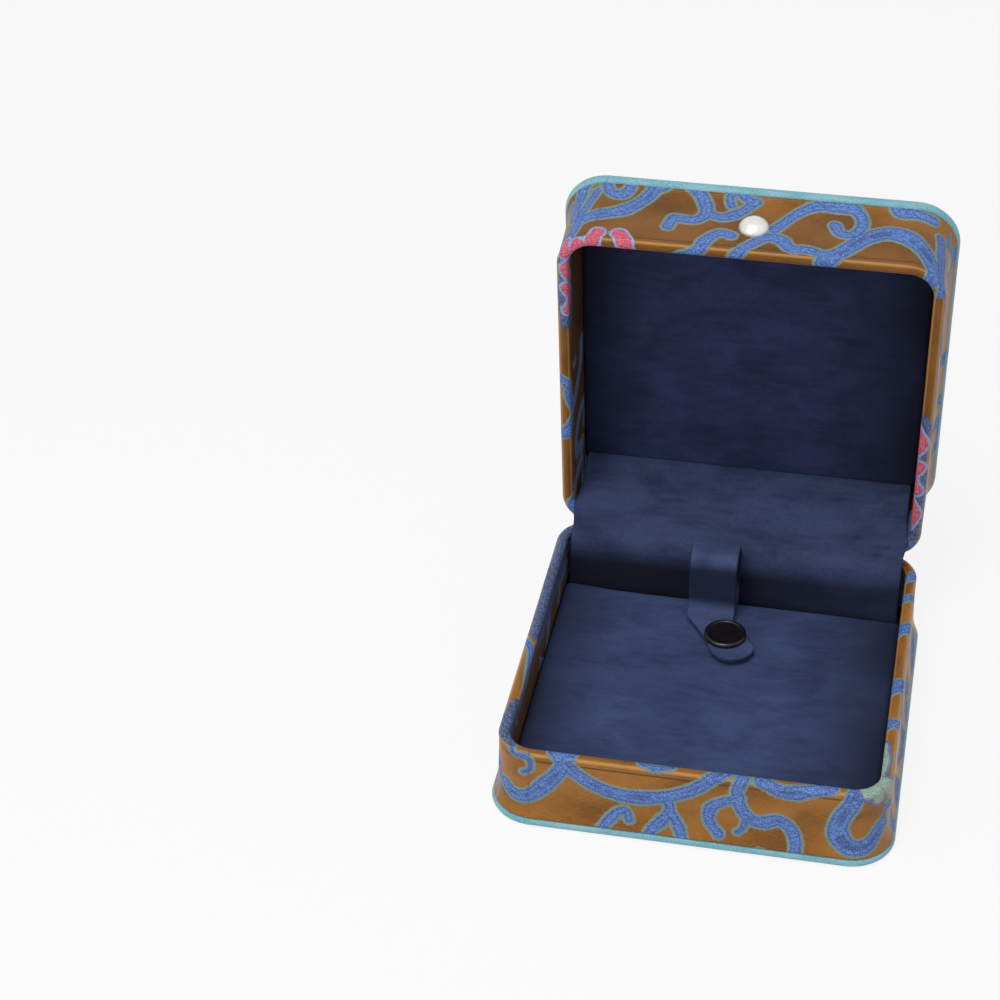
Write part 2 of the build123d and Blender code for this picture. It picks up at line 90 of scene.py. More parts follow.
# ---- noise and shapes in plain numbers
def value_noise(P, seed=0):
    """smooth value noise from -1 to 1 at places P, one unit per cell"""
    P = np.asarray(P, float)
    i = np.floor(P).astype(np.int64)
    f = P - i
    f = f * f * (3 - 2 * f)

    def h(ix, iy, iz):
        n = (ix * 374761393 + iy * 668265263 + iz * 2147483647 + seed * 974711) & 0x7FFFFFFF
        n = ((n ^ (n >> 13)) * 1274126177) & 0x7FFFFFFF
        return ((n ^ (n >> 16)) & 0xFFFF) / 32767.5 - 1

    out = 0
    for corner in np.ndindex(2, 2, 2):
        w = 1.0
        for axis, upper in enumerate(corner):
            w = w * (f[..., axis] if upper else 1 - f[..., axis])
        out = out + w * h(*np.moveaxis(i + corner, -1, 0))
    return out


def spline(points, step=0.8):
    """a smooth line through the points"""
    p = np.asarray(points, float)
    p = np.vstack([2 * p[0] - p[1], p, 2 * p[-1] - p[-2]])
    out = []
    for k in range(1, len(p) - 2):
        n = max(2, int(np.linalg.norm(p[k + 1] - p[k]) / step))
        t = np.linspace(0, 1, n, endpoint=False)[:, None]
        a, b, c, d = p[k - 1], p[k], p[k + 1], p[k + 2]
        curve = 2 * b + (c - a) * t + (2 * a - 5 * b + 4 * c - d) * t ** 2 + (3 * b - a - 3 * c + d) * t ** 3
        out.append(0.5 * curve)
    out.append(p[-2][None])
    return np.vstack(out)


def stroke_distance(Q, strokes, shift=(0, 0), flip=False):
    """signed distance, in mm, from cloth places Q to the nearest ornament stroke, below zero inside it"""
    best = np.full(len(Q), FAR)
    for w, *places in strokes:
        line = spline(np.reshape(places, (-1, 2)))
        if flip:
            line = line * [-1, 1]
        line = line + shift
        lo, hi = line.min(0) - 6, line.max(0) + 6
        near = np.nonzero(((Q >= lo) & (Q <= hi)).all(1))[0]
        if not len(near):
            continue
        q = Q[near]
        s = np.linspace(0, 1, len(line))
        width = 1.12 * w * (0.86 + 0.16 * np.sin(np.pi * s) + 0.12 * np.cos(2 * np.pi * s) ** 8)
        a, b = line[:-1], line[1:]
        ab = b - a
        den = (ab ** 2).sum(1) + 1e-9
        d = np.full(len(q), FAR)
        for k in range(len(a)):
            v = q - a[k]
            t = np.clip((v @ ab[k]) / den[k], 0, 1)
            r = np.hypot(*(v - t[:, None] * ab[k]).T) - (width[k] + (width[k + 1] - width[k]) * t)
            np.minimum(d, r, out=d)
        best[near] = np.minimum(best[near], d)
    return best


# Ornament strokes, in mm: half width, then the centre line's places as x, y, x, y and so on.
# On the walls x runs along the wall from the middle of its front, and y is the distance from the seam.
BASE_FRONT = [
    (2.2, -45.5, 12.3, -42.7, 13.9, -38.5, 12.9, -35, 9.2, -32, 5.3, -30.1, 1.3, -28.9, -2.5), (2.1, -32.7,
    -1.6, -30.1, 1.3, -26.7, 4.9, -21.1, 8.1, -14.9, 9.5, -9.4, 9.1, -4, 7.6, 1.4, 4.7, 5.3, 1.1, 8.5, -2),
    (1.1, -44.4, -1.7, -43.4, 1.1, -41.1, 1.1, -38.9, 1.6, -38.5, 4.6, -40.4, 6.1), (1.5, -22.8, 23.1, -19.7,
    18.6, -16.9, 14.8, -14.9, 14.1, -14, 16.6), (1.7, -4.8, 8.3, -4.2, 12.1, -5.9, 15.6, -8.2, 18.4, -10, 22.3),
    (1.6, -4.2, 12.1, -2.4, 15.5, -0.8, 19.9, 0.3, 22.1), (1.9, 13, -0.5, 11.8, 3.8, 12.6, 7.8, 15.1, 11.5,
    18.6, 12.3, 21.9, 11, 25, 13, 26.6, 17.3, 26.4, 23.5), (1.7, 12.5, 5.5, 8.9, 7.2, 5.9, 9.4, 5.4, 13.7, 7.9,
    17.4), (1.2, 14.2, 12.1, 13.6, 15, 12.3, 16.2), (1.2, 14.9, 22.3, 17.6, 20.9, 20.4, 22, 21.8, 23.4), (2.5,
    40.2, -0.1, 39, 3.6, 36.8, 8.1, 36.4, 12.8, 39.3, 16.4, 43.7, 16.1, 47.4, 11.7), (2.1, 17.3, -0.6, 21.4,
    1.6, 25.4, 1.9, 30, 0.4, 33.9, -1.1), (1.2, -11.7, -1.3, -8.3, -0.3, -4.2, -1.2), (1.3, -62, -3.9, -70,
    -3.3, -78, -2.4, -84, -0.9, -87, 1.5), (1.5, 119, -4.2, 120.5, -2, 121.5, 0.5), (1.9, 105, -4.4, 107.5,
    -1.8, 109.5, 1.2, 110, 4.2), (2.2, 82, -4.6, 84.5, -1.8, 86.5, 1.2, 85.5, 4.6), (1.8, 69, -4.4, 71, -1.8,
    71.5, 0.8),
]
BASE_MIX = [
    (3.4, -91, -2.8, -102, -2.4, -114, -3, -133, -2.6), (2.8, -46.5, -2.9, -53, -2.6, -60.5, -2.9),
]
LID_MIX = [
    (2.6, -50, -2.6, -57, -3, -64, -2.4, -70.5, -3), (2.8, 93, -2.6, 104, -3.2, 116, -2.4, 131, -3),
]
BASE_PALE = [
    (2.3, 52.5, -3.8, 57, -3.2, 62.5, -3.7), (1.5, 42.4, -3.8, 42.9, -1.2, 43.4, 0.6), (1.6, 45, -4.4, 45.5,
    -0.9, 46.2, 2.4), (1.9, 48.8, -5, 49.2, -1.6, 49.9, 1.4),
]
LID_FRONT = [
    (2.1, -45.7, 3.4, -43.4, 8.1, -38.2, 10.5, -32.9, 12.9, -29, 17.2, -26.5, 21.8, -25.8, 27.5), (1.8, -25,
    22.1, -21.2, 24.5, -17.1, 23.2, -13.8, 19.4, -12.6, 14.8, -14.4, 11.5, -17.9, 11.2, -20.2, 11.6, -21.2,
    7.8), (1.8, -12.6, 14.8, -8.4, 13.3, -4.2, 16, -1.2, 20.1), (1.5, -0.5, 20.2, -3.4, 21, -5.8, 23.5, -7.4,
    21, -6.8, 18.4), (1.7, -38.9, 23.1, -37.4, 19.6, -34.6, 18.8, -32.6, 21.5, -33.4, 25.2), (1.8, -45.9, 10.9,
    -45.5, 17.8, -43.5, 22.8, -39.5, 24.3), (1.4, -45.2, 6.8, -42.9, 13.2, -40.8, 19.7), (1.8, 4.9, 10.2, 7.5,
    14.2, 10.6, 18.2, 14.5, 20.6, 19.3, 20.8, 23.9, 20.3, 26.1, 15.8, 24.4, 11.2, 21, 10.9, 19.4, 14), (1.4,
    23.9, 20.3, 23.1, 23.2, 24.4, 25.5), (1.8, -17.2, -2.6, -12.7, -0.3, -11.2, 3.6, -8.2, 7, -5.3, 6.3), (1.8,
    -3.7, -1.1, -0.1, 3.5, 3.6, 6.8, 7.1, 6.2, 9.9, 3.1, 13.6, 3.3, 17.8, 2, 20.5, 2.6), (2.5, 18.1, -0.6, 23,
    4.7, 27.3, 9.7, 32.5, 12.6, 37.3, 11.6, 41.7, 7.6, 45.1, 1.8, 47.5, -8), (1.7, 32.6, 25.2, 34.2, 21, 37.9,
    20.8, 42.8, 20.1), (1.3, 34.8, 25.9, 38.5, 26.7, 41.8, 24.2), (1.9, 45.9, 15.6, 46.9, 10.1, 47.7, 3.3),
]
LID_PINK = [
    (1.5, -39.4, -3, -38.9, 0.2, -37.9, 2.9), (1.6, -30.2, -2.4, -31.2, 0.9, -32.6, 3.1), (1.9, -46.4, -4.2,
    -44.9, -2.6, -43.2, -1.2), (1.5, -48.6, -0.4, -47, 1.6), (1.3, -51, -3.6, -54, -1.8, -57.5, -3.4), (1.3,
    -60, -1.7, -63.5, -3.8, -67, -2), (1.5, 95, -3.6, 99, -1.6, 103, -3.6), (1.6, 107, -1.6, 111, -3.8, 115,
    -1.8), (1.4, 119, -3.6, 123, -1.7, 128, -3.4),
]
# The cloth's own repeat, as the crowned top shows it: x to the right, y to the rear
TOP_BLUE = [
    (1.9, -46.7, -1, -40.1, 2.3, -33, 6.7, -26.5, 13, -22.4, 21.6, -20.8, 31.5, -20.9, 39.9, -23.2, 45.5), (1.9,
    -23.2, 45.5, -27.5, 42.2, -29.3, 34.2, -28.4, 26.2, -23.3, 19.2, -16.5, 14.6, -7.8, 11.8, 1.4, 12.8, 9.5,
    17.1, 18.3, 22.3, 24.6, 24.3), (2.1, 34.7, 45.2, 26.6, 42.7, 20.7, 38.4, 20.2, 31, 24.5, 24.7, 30.8, 18.9,
    37.5, 17.6, 44.4, 17, 47.8, 13.6), (1.7, 21, 20.3, 21.3, 14.7, 19.5, 12.2, 14.7, 11.2, 14.9, 6.3, 17.4, 4.8,
    19.2, 8.7), (1.9, 21.5, 14.1, 25, 7.9, 30.5, 9.1, 35.7, 5.4, 37, -1, 32.5, -4, 27.2, -3.2, 25, 0.4), (1.6,
    4.7, 11.8, 5.1, 6.2, 0.3, 2.4, -4, -1.3, -7.8, -1.4, -10.8, 1.3, -8.5, 6, -4.9, 5.4), (1.9, 5.1, 6.2, 9.3,
    1, 11.2, -4, 7.7, -7.5, 2.8, -6.6), (1.7, -36.2, -18.6, -33.9, -10, -29.4, -5.6, -22.6, -5.4, -17.7, -2.3,
    -14.4, -5.7, -15.5, -11.3, -17.3, -15.7, -22.5, -20.2, -26.7, -17.8, -27.3, -13.9, -23.7, -14.5), (1.9,
    -45.3, -31.2, -44.3, -23.1, -39.5, -20, -33.8, -19.4, -30.4, -23.9, -31.5, -30.1, -36.9, -31.3, -38.6, -29),
    (2.3, -36.4, -49.6, -37.3, -41, -32.5, -36.1, -27.3, -32.4, -22.5, -29.4, -17.1, -30.7, -13.1, -35, -7.2,
    -35.5, -4.4, -41.2, -3.9, -49.7), (2, -3.5, -25.8, -7.7, -26.7, -11.5, -23, -9.8, -18.1, -4.6, -16.2, 2.2,
    -16.7, 7.3, -22.1, 10.3, -29.1, 15.6, -33, 17, -40.1, 15.8, -46.4, 11.3, -46.2, 9.5, -41.8), (1.7, -3.2,
    -36.5, -0.2, -32.1, 4.6, -31.6, 10.3, -29.1), (1.4, 20.1, -42.4, 24.2, -42.8, 26.5, -39.8, 25.7, -35.9),
    (1.6, 16.6, -10.9, 19.7, -10.2, 22.2, -12.9, 26.4, -14.6), (1.8, 19.9, -10.8, 19.2, -18.1, 20.3, -23.1,
    24.8, -25.9, 29.2, -24.3, 30.6, -19.5, 31.9, -16.6, 34.8, -18.5), (1.8, 45.9, -23.7, 43.1, -19.3, 39.4,
    -17.5, 37, -20.6, 36.5, -25.8, 40, -31.3, 45.4, -33.7), (1.8, -7.9, 28.4, -10.9, 32.2, -8.9, 37.2, -3.4,
    36.9, 2.4, 32.2, 7.3, 36.2), (1.6, 2.8, 32.3, 6.7, 26.5, 4.3, 23.1, -0.4, 21.3, -3.9, 24.2), (1.4, -3.9,
    44.3, -0.1, 40.6, 5.5, 42.6, 11.7, 45.5, 18.4, 47), (1.4, -16, 45.5, -10, 43.8, -3.9, 44.3), (1.6, -38.8,
    30.6, -43.3, 28.1, -43.8, 22, -44, 15.3, -42.6, 9.1, -38, 10.9), (1.4, -42.8, 19.3, -37.9, 20.4, -33.4,
    17.7, -30.4, 16.9, -30.6, 14.7), (1.4, -46.4, 36.6, -43.8, 39.4, -40.6, 39.4), (1.5, -45.6, -15.3, -44.6,
    -11, -42.6, -8.5), (1.8, 47, -9.4, 42.7, -8.4, 42.1, -12.4, 46.3, -16), (1.5, -44.4, -40, -43, -37.1, -40.2,
    -37.8), (1.5, 49.1, 8.4, 46.9, 3.9, 47, -1.5),
]
TOP_PALE = [
    (1.2, 33.9, 33.2, 38.2, 34.8, 44, 34), (1.4, 33.9, 32.6, 38.2, 31.3, 43.3, 30.1), (1.2, 34.4, 31.4, 37.4,
    28, 42, 25.6),
]
TOP_PINK = [
    (2, 33.8, -47.4, 36, -44.9, 38.4, -46.6), (2.2, 38, -46.2, 41, -44.4, 44.5, -45.8),
]


# ---- meshes
def add_mesh(name, V, F):
    """a mesh object from places in metres and faces"""
    me = bpy.data.meshes.new(name)
    me.from_pydata([tuple(v) for v in V], [], [tuple(int(i) for i in f) for f in F])
    me.validate()
    me.polygons.foreach_set("use_smooth", [True] * len(me.polygons))
    me.update()
    ob = bpy.data.objects.new(name, me)
    scene.collection.objects.link(ob)
    return ob


def grid_faces(rows, cols, close=False, flip=False):
    """faces of a grid of rows and columns, the columns joined up when close"""
    n = cols if close else cols - 1
    r, c = np.meshgrid(np.arange(rows - 1), np.arange(n), indexing="ij")
    r, c = r.ravel(), c.ravel()
    d = (c + 1) % cols
    F = np.stack([r * cols + c, r * cols + d, (r + 1) * cols + d, (r + 1) * cols + c], 1)
    return F[:, ::-1] if flip else F


def attribute(ob, name, values):
    """a number, or three, kept on each point of the mesh for its material"""
    values = np.asarray(values, np.float32)
    kind = "FLOAT" if values.ndim == 1 else "FLOAT_VECTOR"
    a = ob.data.attributes.new(name, kind, "POINT")
    a.data.foreach_set("value" if kind == "FLOAT" else "vector", values.ravel())


def rounded_square(half, r, straight, bend):
    """places round a square with rounded corners, from the left end of its front to the right"""
    e = half - r
    side = np.linspace(-e, e, straight, endpoint=False)
    turn = np.linspace(0, math.pi / 2, bend, endpoint=False)
    x, y = [], []
    for k in range(4):
        a = -math.pi / 2 + k * math.pi / 2
        ca, sa = math.cos(a), math.sin(a)
        x += [ca * half - sa * side, ca * e - sa * e + r * np.cos(a + turn)]
        y += [sa * half + ca * side, sa * e + ca * e + r * np.sin(a + turn)]
    return np.concatenate(x), np.concatenate(y)


def ring(inset, straight=128, bend=26):
    """places and running lengths round the wall drawn in by inset; length 0 is the middle of the front"""
    e, waist = HALF - CORNER, CORNER - WAIST
    turn = np.linspace(0, math.pi / 2, bend, endpoint=False)
    quarter = np.r_[np.linspace(-e, e, straight, endpoint=False), e + waist * turn]
    u = np.concatenate([quarter + k * PERIMETER / 4 for k in range(4)])
    return *rounded_square(HALF - inset, CORNER - inset, straight, bend), u


PERIMETER = 8 * (HALF - CORNER) + 2 * math.pi * (CORNER - WAIST)


def circle(cx, cy, r, a):
    """places on a circle at angles a"""
    return np.stack([cx + r * np.cos(a), cy + r * np.sin(a)], -1)


def arc(cx, cy, r, a0, a1, n):
    """points of an arc, angles in degrees"""
    return circle(cx, cy, r, np.radians(np.linspace(a0, a1, n)))


def resample(line, step):
    """the same line in even steps, with its running length"""
    d = np.r_[0, np.cumsum(np.hypot(*np.diff(line, axis=0).T))]
    n = max(2, int(round(d[-1] / step)))
    s = np.linspace(0, d[-1], n + 1)
    return np.stack([np.interp(s, d, line[:, k]) for k in range(line.shape[1])], 1), s


def arc_between(centre, p, q, r, n):
    """points of the shorter arc from p to q"""
    a0, a1 = (math.atan2(*(end - centre)[::-1]) for end in (p, q))
    a1 = a0 + (a1 - a0 + math.pi) % (2 * math.pi) - math.pi
    return circle(*centre, r, np.linspace(a0, a1, n))


def flare_arc(level, flare):
    """the flare's arc, tangent to the wall's line, as the solids have it"""
    p0 = np.array([FLARE, level - flare])
    p1 = np.array([EDGE, level])
    top = np.array([WAIST, 1.25])
    d = (p0 - top) / np.linalg.norm(p0 - top)
    n = np.array([-d[1], d[0]])
    c = p1 - p0
    r = (c @ c) / (2 * (c @ n))
    centre = p0 + n * r
    return arc_between(centre, p0, p1, abs(r), 24)


def skin_profile(level, flare, depth):
    """inset and t of the cloth: up the wall's inner face, over the rim, and down outside to the piping"""
    r = 1.12
    line = np.vstack([
        [[INNER, depth], [INNER, 2.4]],
        arc(INNER - r, HALF_GAP + r, r, 0, -90, 10),
        arc(WAIST + r, HALF_GAP + r, r, -90, -180, 10),
        flare_arc(level, flare),
    ])
    inside_and_rim = np.arange(len(line)) < 22
    line, s = resample(line[(line[:, 1] <= level - 0.25) | inside_and_rim], 0.4)
    # the folded edge stands a little proud of the face below it
    outer = line[:, 0] < 3.2
    t = line[:, 1]
    groove = 0.17 * np.exp(-((t - 2.25) / 0.42) ** 2)
    ridge = 0.16 * np.exp(-((t - 1.05) / 0.45) ** 2)
    line[:, 0] += outer * (groove - ridge)
    line[:, 0] -= (line[:, 0] > 4.0) * 0.14 * np.exp(-((t - 2.2) / 0.45) ** 2)
    return line, s


def from_front(u):
    """running lengths as distances from the middle of the front, to the right above zero"""
    return (u + PERIMETER / 2) % PERIMETER - PERIMETER / 2


def wall_marks(u, v, front, pink, pale, mixed, bare, shift):
    """the ornament's signed distances at places u along the wall and v down it"""
    u = from_front(u)
    Q = np.stack([u, v], 1)
    e = HALF - CORNER
    corner = (CORNER - WAIST) * math.pi / 2
    blue = stroke_distance(Q, front)
    reach = e + corner * 0.62
    side = 2 * e + corner
    # the sides and the rear repeat the top's cloth, each from its own place in it
    part = np.nonzero(np.abs(u) > reach)[0]
    walls = ((side, shift[0]), (-side, shift[1]), (2 * side, shift[2]), (-2 * side, shift[2]))
    for k, (cx, dy) in enumerate(walls):
        T = np.stack([u - cx, -v], 1)
        for oy in (0, REPEAT):
            d = stroke_distance(T[part], TOP_BLUE, shift=(0, dy - oy), flip=bool(k % 2))
            blue[part] = np.minimum(blue[part], d)
    # strips along the rim where the cloth's ground lies bare
    for u0, u1, depth in bare:
        hide = np.clip(np.minimum(u - u0, u1 - u) / 2, 0, 1) * np.clip((depth - v) / 1.5, 0, 1)
        blue = np.maximum(blue, 4 * hide - 1) * (hide > 0) + blue * (hide <= 0)
    blue = np.minimum(blue, stroke_distance(Q, [stroke for stroke in front if abs(stroke[1]) > 60]))
    return blue, *(stroke_distance(Q, strokes) for strokes in (pink, pale, mixed))


def dress(ob, marks, cloth):
    """keeps the ornament's distances and the cloth's own directions on the mesh"""
    for name, distance in zip(("fig_blue", "fig_pink", "fig_pale", "fig_mix"), marks):
        attribute(ob, name, np.clip(distance, -6, 6))
    attribute(ob, "cloth", cloth)


def thicken(ob, mm):
    """gives a sheet its cloth's thickness on the side away from its face, and keeps it in the mesh"""
    mod = ob.modifiers.new("thickness", "SOLIDIFY")
    mod.thickness, mod.offset, mod.use_even_offset = mm * MM, -1.0, False
    deps = bpy.context.evaluated_depsgraph_get()
    final = ob.evaluated_get(deps)
    thick = bpy.data.meshes.new_from_object(final, preserve_all_data_layers=True, depsgraph=deps)
    ob.modifiers.clear()
    thin, ob.data = ob.data, thick
    bpy.data.meshes.remove(thin)


def drop_faces(F, gone):
    """leaves out the faces that touch a gone point, and then the loose points"""
    F = F[~gone[F].any(1)]
    used = np.zeros(len(gone), bool)
    used[F] = True
    index = np.cumsum(used) - 1
    return used, index[F]


def wall_skin(name, level, flare, depth, place, out_dir, seed, *figure):
    """brocade round one half's wall; out_dir is the way its front faces, and figure goes to wall_marks"""
    line, s = skin_profile(level, flare, depth)
    outside = (line[:, 0] < 3) & (line[:, 1] > 1.5)
    k5 = np.interp(5.0, line[outside, 1], s[outside])
    v_of = s - k5 + 5
    rows = []
    for (inset, t), v in zip(line, v_of):
        x, y, u = ring(inset)
        rows.append(np.stack([x, y, np.full_like(x, t), u, np.full_like(x, v)], 1))
    G = np.stack(rows)
    nr, nc = G.shape[:2]
    P = G.reshape(-1, 5)
    xyt = P[:, :3].copy()
    # the rear rim is cut back to the bevel, and away from the hinge barrel and leaf
    beta = OPEN / 2
    by = HINGE_Y - HALF_GAP * math.tan(beta / 2)
    behind = xyt[:, 1] > by
    xyt[behind, 2] = np.maximum(xyt[behind, 2], HALF_GAP + (xyt[behind, 1] - by) * math.tan(beta))
    x, y, t = xyt.T
    barrel = np.hypot(y - HINGE_Y, t) < 1.5
    leaf = (y > 44.8) & (y < 46.05) & (t < 12.3)
    gone = (np.abs(x) < HINGE_HALF) & (barrel | leaf)
    # soft unevenness of cloth glued over the wall
    out = xyt[:, :2] / (np.hypot(x, y) + 1e-9)[:, None]
    amp = 0.05 * value_noise(P[:, [3, 4, 4]] * [0.11, 0.16, 0] + 7, seed) * np.clip((t - 1) / 3, 0, 1)
    xyt[:, :2] += out * amp[:, None]
    used, F = drop_faces(grid_faces(nr, nc, close=True), gone)
    ob = add_mesh(name, place(xyt[used]) * MM, F)
    t, u, v = P[used, 2:].T
    marks = wall_marks(u, v, *figure)
    # painted highlight along the rim's two folded edges, where the satin catches the light, and a painted shade
    # line in the groove under the outer one
    inset = np.repeat(line[:, 0], nc)[used]
    painted_rim_highlight_and_shade = np.exp(-((t - 0.55) / 0.30) ** 2) * ((inset < 2.9) | (inset > 4.1))
    painted_rim_highlight_and_shade -= 1.2 * np.exp(-((t - 2.15) / 0.34) ** 2) * (inset < 3)
    attribute(ob, "painted_rim_highlight_and_shade", painted_rim_highlight_and_shade)
    # painted shade on the wall's inner face, deeper as it goes down into the box
    attribute(ob, "painted_inner_shade", np.clip((t - 1.5) / 3, 0, 1) * (inset > 4))
    # painted shade: the base's satin a little darker, the lid's darker still, but for a painted highlight in a
    # bright sweep towards the piping on the right
    painted_sweep_highlight = np.clip((v - 13) / 9, 0, 1) * np.clip((from_front(u) + 22) / 24, 0, 1)
    attribute(ob, "shade", np.full(len(u), 0.1) if place is in_base else 0.9 - 0.75 * painted_sweep_highlight)
    dress(ob, marks, np.stack([u, v, np.zeros(len(u))], 1))
    out_dir = Vector(out_dir)
    far = max(ob.data.polygons, key=lambda f: f.center.dot(out_dir))
    if far.normal.dot(out_dir) < 0:
        ob.data.flip_normals()
    thicken(ob, 0.38)
    return ob


def cord_ring(name, radius, level, place, seed):
    """the welt: a cord wrapped in bias-cut cloth, with the slight waves of hand work"""
    x, y, u = ring(radius, 100)
    nx, ny, _ = ring(0, 100)
    n = np.stack([nx - x, ny - y], 1)
    n /= np.linalg.norm(n, axis=1)[:, None]
    around = np.r_[np.linspace(0, 2 * math.pi, 20, endpoint=False), 0]
    rows = []
    for a in around:
        wave = 1 + 0.018 * value_noise(np.stack([u * 0.13, np.full_like(u, a), u * 0], 1), seed)
        out, up = radius * wave * math.cos(a), radius * wave * math.sin(a)
        rows.append(np.stack([x + n[:, 0] * out, y + n[:, 1] * out, level + up], 1))
    G = np.stack(rows)
    ob = add_mesh(name, place(G.reshape(-1, 3)) * MM, grid_faces(*G.shape[:2], close=True))
    around[-1] = 2 * math.pi
    A, U = np.meshgrid(around, u, indexing="ij")
    attribute(ob, "cloth", np.stack([U.ravel(), A.ravel() * radius, np.zeros(A.size)], 1))
    return ob


def cushion(name, place, outline, levels, top_fn, cloth_fn):
    """a padded panel in rings up its sides and over its face; levels are (shrink, t) from its back edge"""
    rows = []
    for shrink, t in levels:
        x, y = outline(shrink)
        rows.append(np.stack([x, y, np.full_like(x, t)], 1))
    G = np.stack(rows)
    shrinks = np.array([s for s, _ in levels])[:, None] + 0 * G[..., 0]
    G[..., 2] = top_fn(G[..., 0], G[..., 1], G[..., 2], shrinks)
    nr, nc = G.shape[:2]
    P = np.vstack([G.reshape(-1, 3), G[-1].mean(0)])
    last = (nr - 1) * nc + np.arange(nc)
    fan = np.stack([last, np.roll(last, -1), np.full(nc, nr * nc)], 1)
    ob = add_mesh(name, place(P) * MM, [*grid_faces(nr, nc, close=True), *fan])
    cloth_fn(ob, P)
    return ob


def square_outline(inset, straight, bend):
    """rings of the rounded square, drawn in further by shrink, its corners easing as it shrinks"""
    def rings(shrink):
        total = inset + shrink
        half = HALF - total
        r = min(max(CORNER - total, 0.0) + 0.35 * shrink, 0.6 * half)
        return rounded_square(half, r, straight, bend)
    return rings


def liner_outline(rear, wave):
    """rings of a pad's outline: rounded at the front, nearly square at the rear"""
    def rings(shrink):
        w = HALF - LINER - shrink
        back = rear - shrink
        front = -w
        rf = max(CORNER - LINER - 0.6 * shrink, 0.4)
        rb = max(1.0 - 0.5 * shrink, 0.3)
        parts = []
        turn = np.linspace(0, math.pi / 2, 12, endpoint=False)
        corners = [(w - rf, front + rf, rf, -math.pi / 2), (w - rb, back - rb, rb, 0.0),
                   (-w + rb, back - rb, rb, math.pi / 2), (-w + rf, front + rf, rf, math.pi)]
        for (cx, cy, r, a), following in zip(corners, corners[1:] + corners[:1]):
            p0, p1 = circle(cx, cy, r, a + math.pi / 2), circle(*following)
            straight = p0 + (p1 - p0) * np.linspace(0, 1, 60, endpoint=False)[:, None]
            parts += [circle(cx, cy, r, a + turn), straight]
        P = np.vstack(parts)
        # the pad's rear edge isn't quite straight
        bow = 1.2 * np.exp(-((P[:, 0] + 44) / 10) ** 2) - 0.4 * np.exp(-((P[:, 0] - 40) / 9) ** 2)
        P[:, 1] += wave * bow * np.clip((P[:, 1] - rear + 12) / 12, 0, 1)
        return P[:, 0], P[:, 1]
    return rings


# ---- materials
class Mat:
    """a node material with short words for the nodes it uses"""

    def __init__(self, name, **sockets):
        self.m = bpy.data.materials.new(name)
        self.m.use_nodes = True
        self.t = self.m.node_tree
        self.bsdf = self.t.nodes["Principled BSDF"]
        self.fill(self.bsdf, **sockets)

    def node(self, kind, **props):
        n = self.t.nodes.new(kind)
        for k, v in props.items():
            setattr(n, k, v)
        return n

    def put(self, value, socket):
        if isinstance(value, bpy.types.NodeSocket):
            self.t.links.new(value, socket)
        else:
            socket.default_value = value

    def fill(self, node, **sockets):
        """sets or links inputs by their names, _ for a space"""
        for k, v in sockets.items():
            self.put(v, node.inputs[k.replace("_", " ")])
        return node

    def math(self, op, a, b):
        n = self.node("ShaderNodeMath", operation=op)
        for v, s in zip((a, b), n.inputs):
            self.put(v, s)
        return n.outputs[0]

    def step(self, x, lo, hi, out0=0.0, out1=1.0):
        n = self.node("ShaderNodeMapRange", interpolation_type="SMOOTHSTEP")
        for v, s in zip((x, lo, hi, out0, out1), n.inputs):
            self.put(v, s)
        return n.outputs[0]

    def mix(self, fac, a, b):
        n = self.node("ShaderNodeMix", data_type="RGBA")
        for v, k in ((fac, 0), (a, 6), (b, 7)):
            self.put(v, n.inputs[k])
        return n.outputs[2]

    def attr(self, name, vector=False):
        n = self.node("ShaderNodeAttribute", attribute_name=name, attribute_type="GEOMETRY")
        return n.outputs["Vector" if vector else "Fac"]

    def coords(self):
        return self.node("ShaderNodeTexCoord").outputs["Object"]

    def grain(self, vector, scale, detail=2.0, rough=0.5, distortion=0.0, turn=(0, 0, 0)):
        """noise with its own scale along each direction of the vector"""
        place = self.fill(self.node("ShaderNodeMapping"), Vector=vector, Scale=scale, Rotation=turn)
        noise = self.fill(self.node("ShaderNodeTexNoise"), Vector=place.outputs[0], Scale=1.0,
                          Detail=detail, Roughness=rough, Distortion=distortion)
        return noise.outputs["Fac"]

    def over(self, under, *layers):
        """lays colours over one another, each where x goes from lo to hi, with share as its strength"""
        for colour, x, lo, hi, share in layers:
            under = self.mix(self.step(x, lo, hi, 0.0, share), under, rgb(*colour))
        return under

    def two(self, x, lo, hi, a, b):
        """from one colour to another as x goes from lo to hi"""
        return self.mix(self.step(x, lo, hi), rgb(*a), rgb(*b))

    def add(self, a, b):
        return self.math("ADD", a, b)

    def mul(self, a, b):
        return self.math("MULTIPLY", a, b)

    def bump(self, height, strength, distance):
        n = self.node("ShaderNodeBump")
        return self.fill(n, Height=height, Strength=strength, Distance=distance).outputs[0]

    def set(self, socket, value):
        self.put(value, self.bsdf.inputs[socket])


def rgb(*shown):
    """a colour as a screen shows it, 0 to 255, turned into linear light"""
    return (*(c / 255 / 12.92 if c <= 10 else ((c / 255 + 0.055) / 1.055) ** 2.4 for c in shown), 1.0)


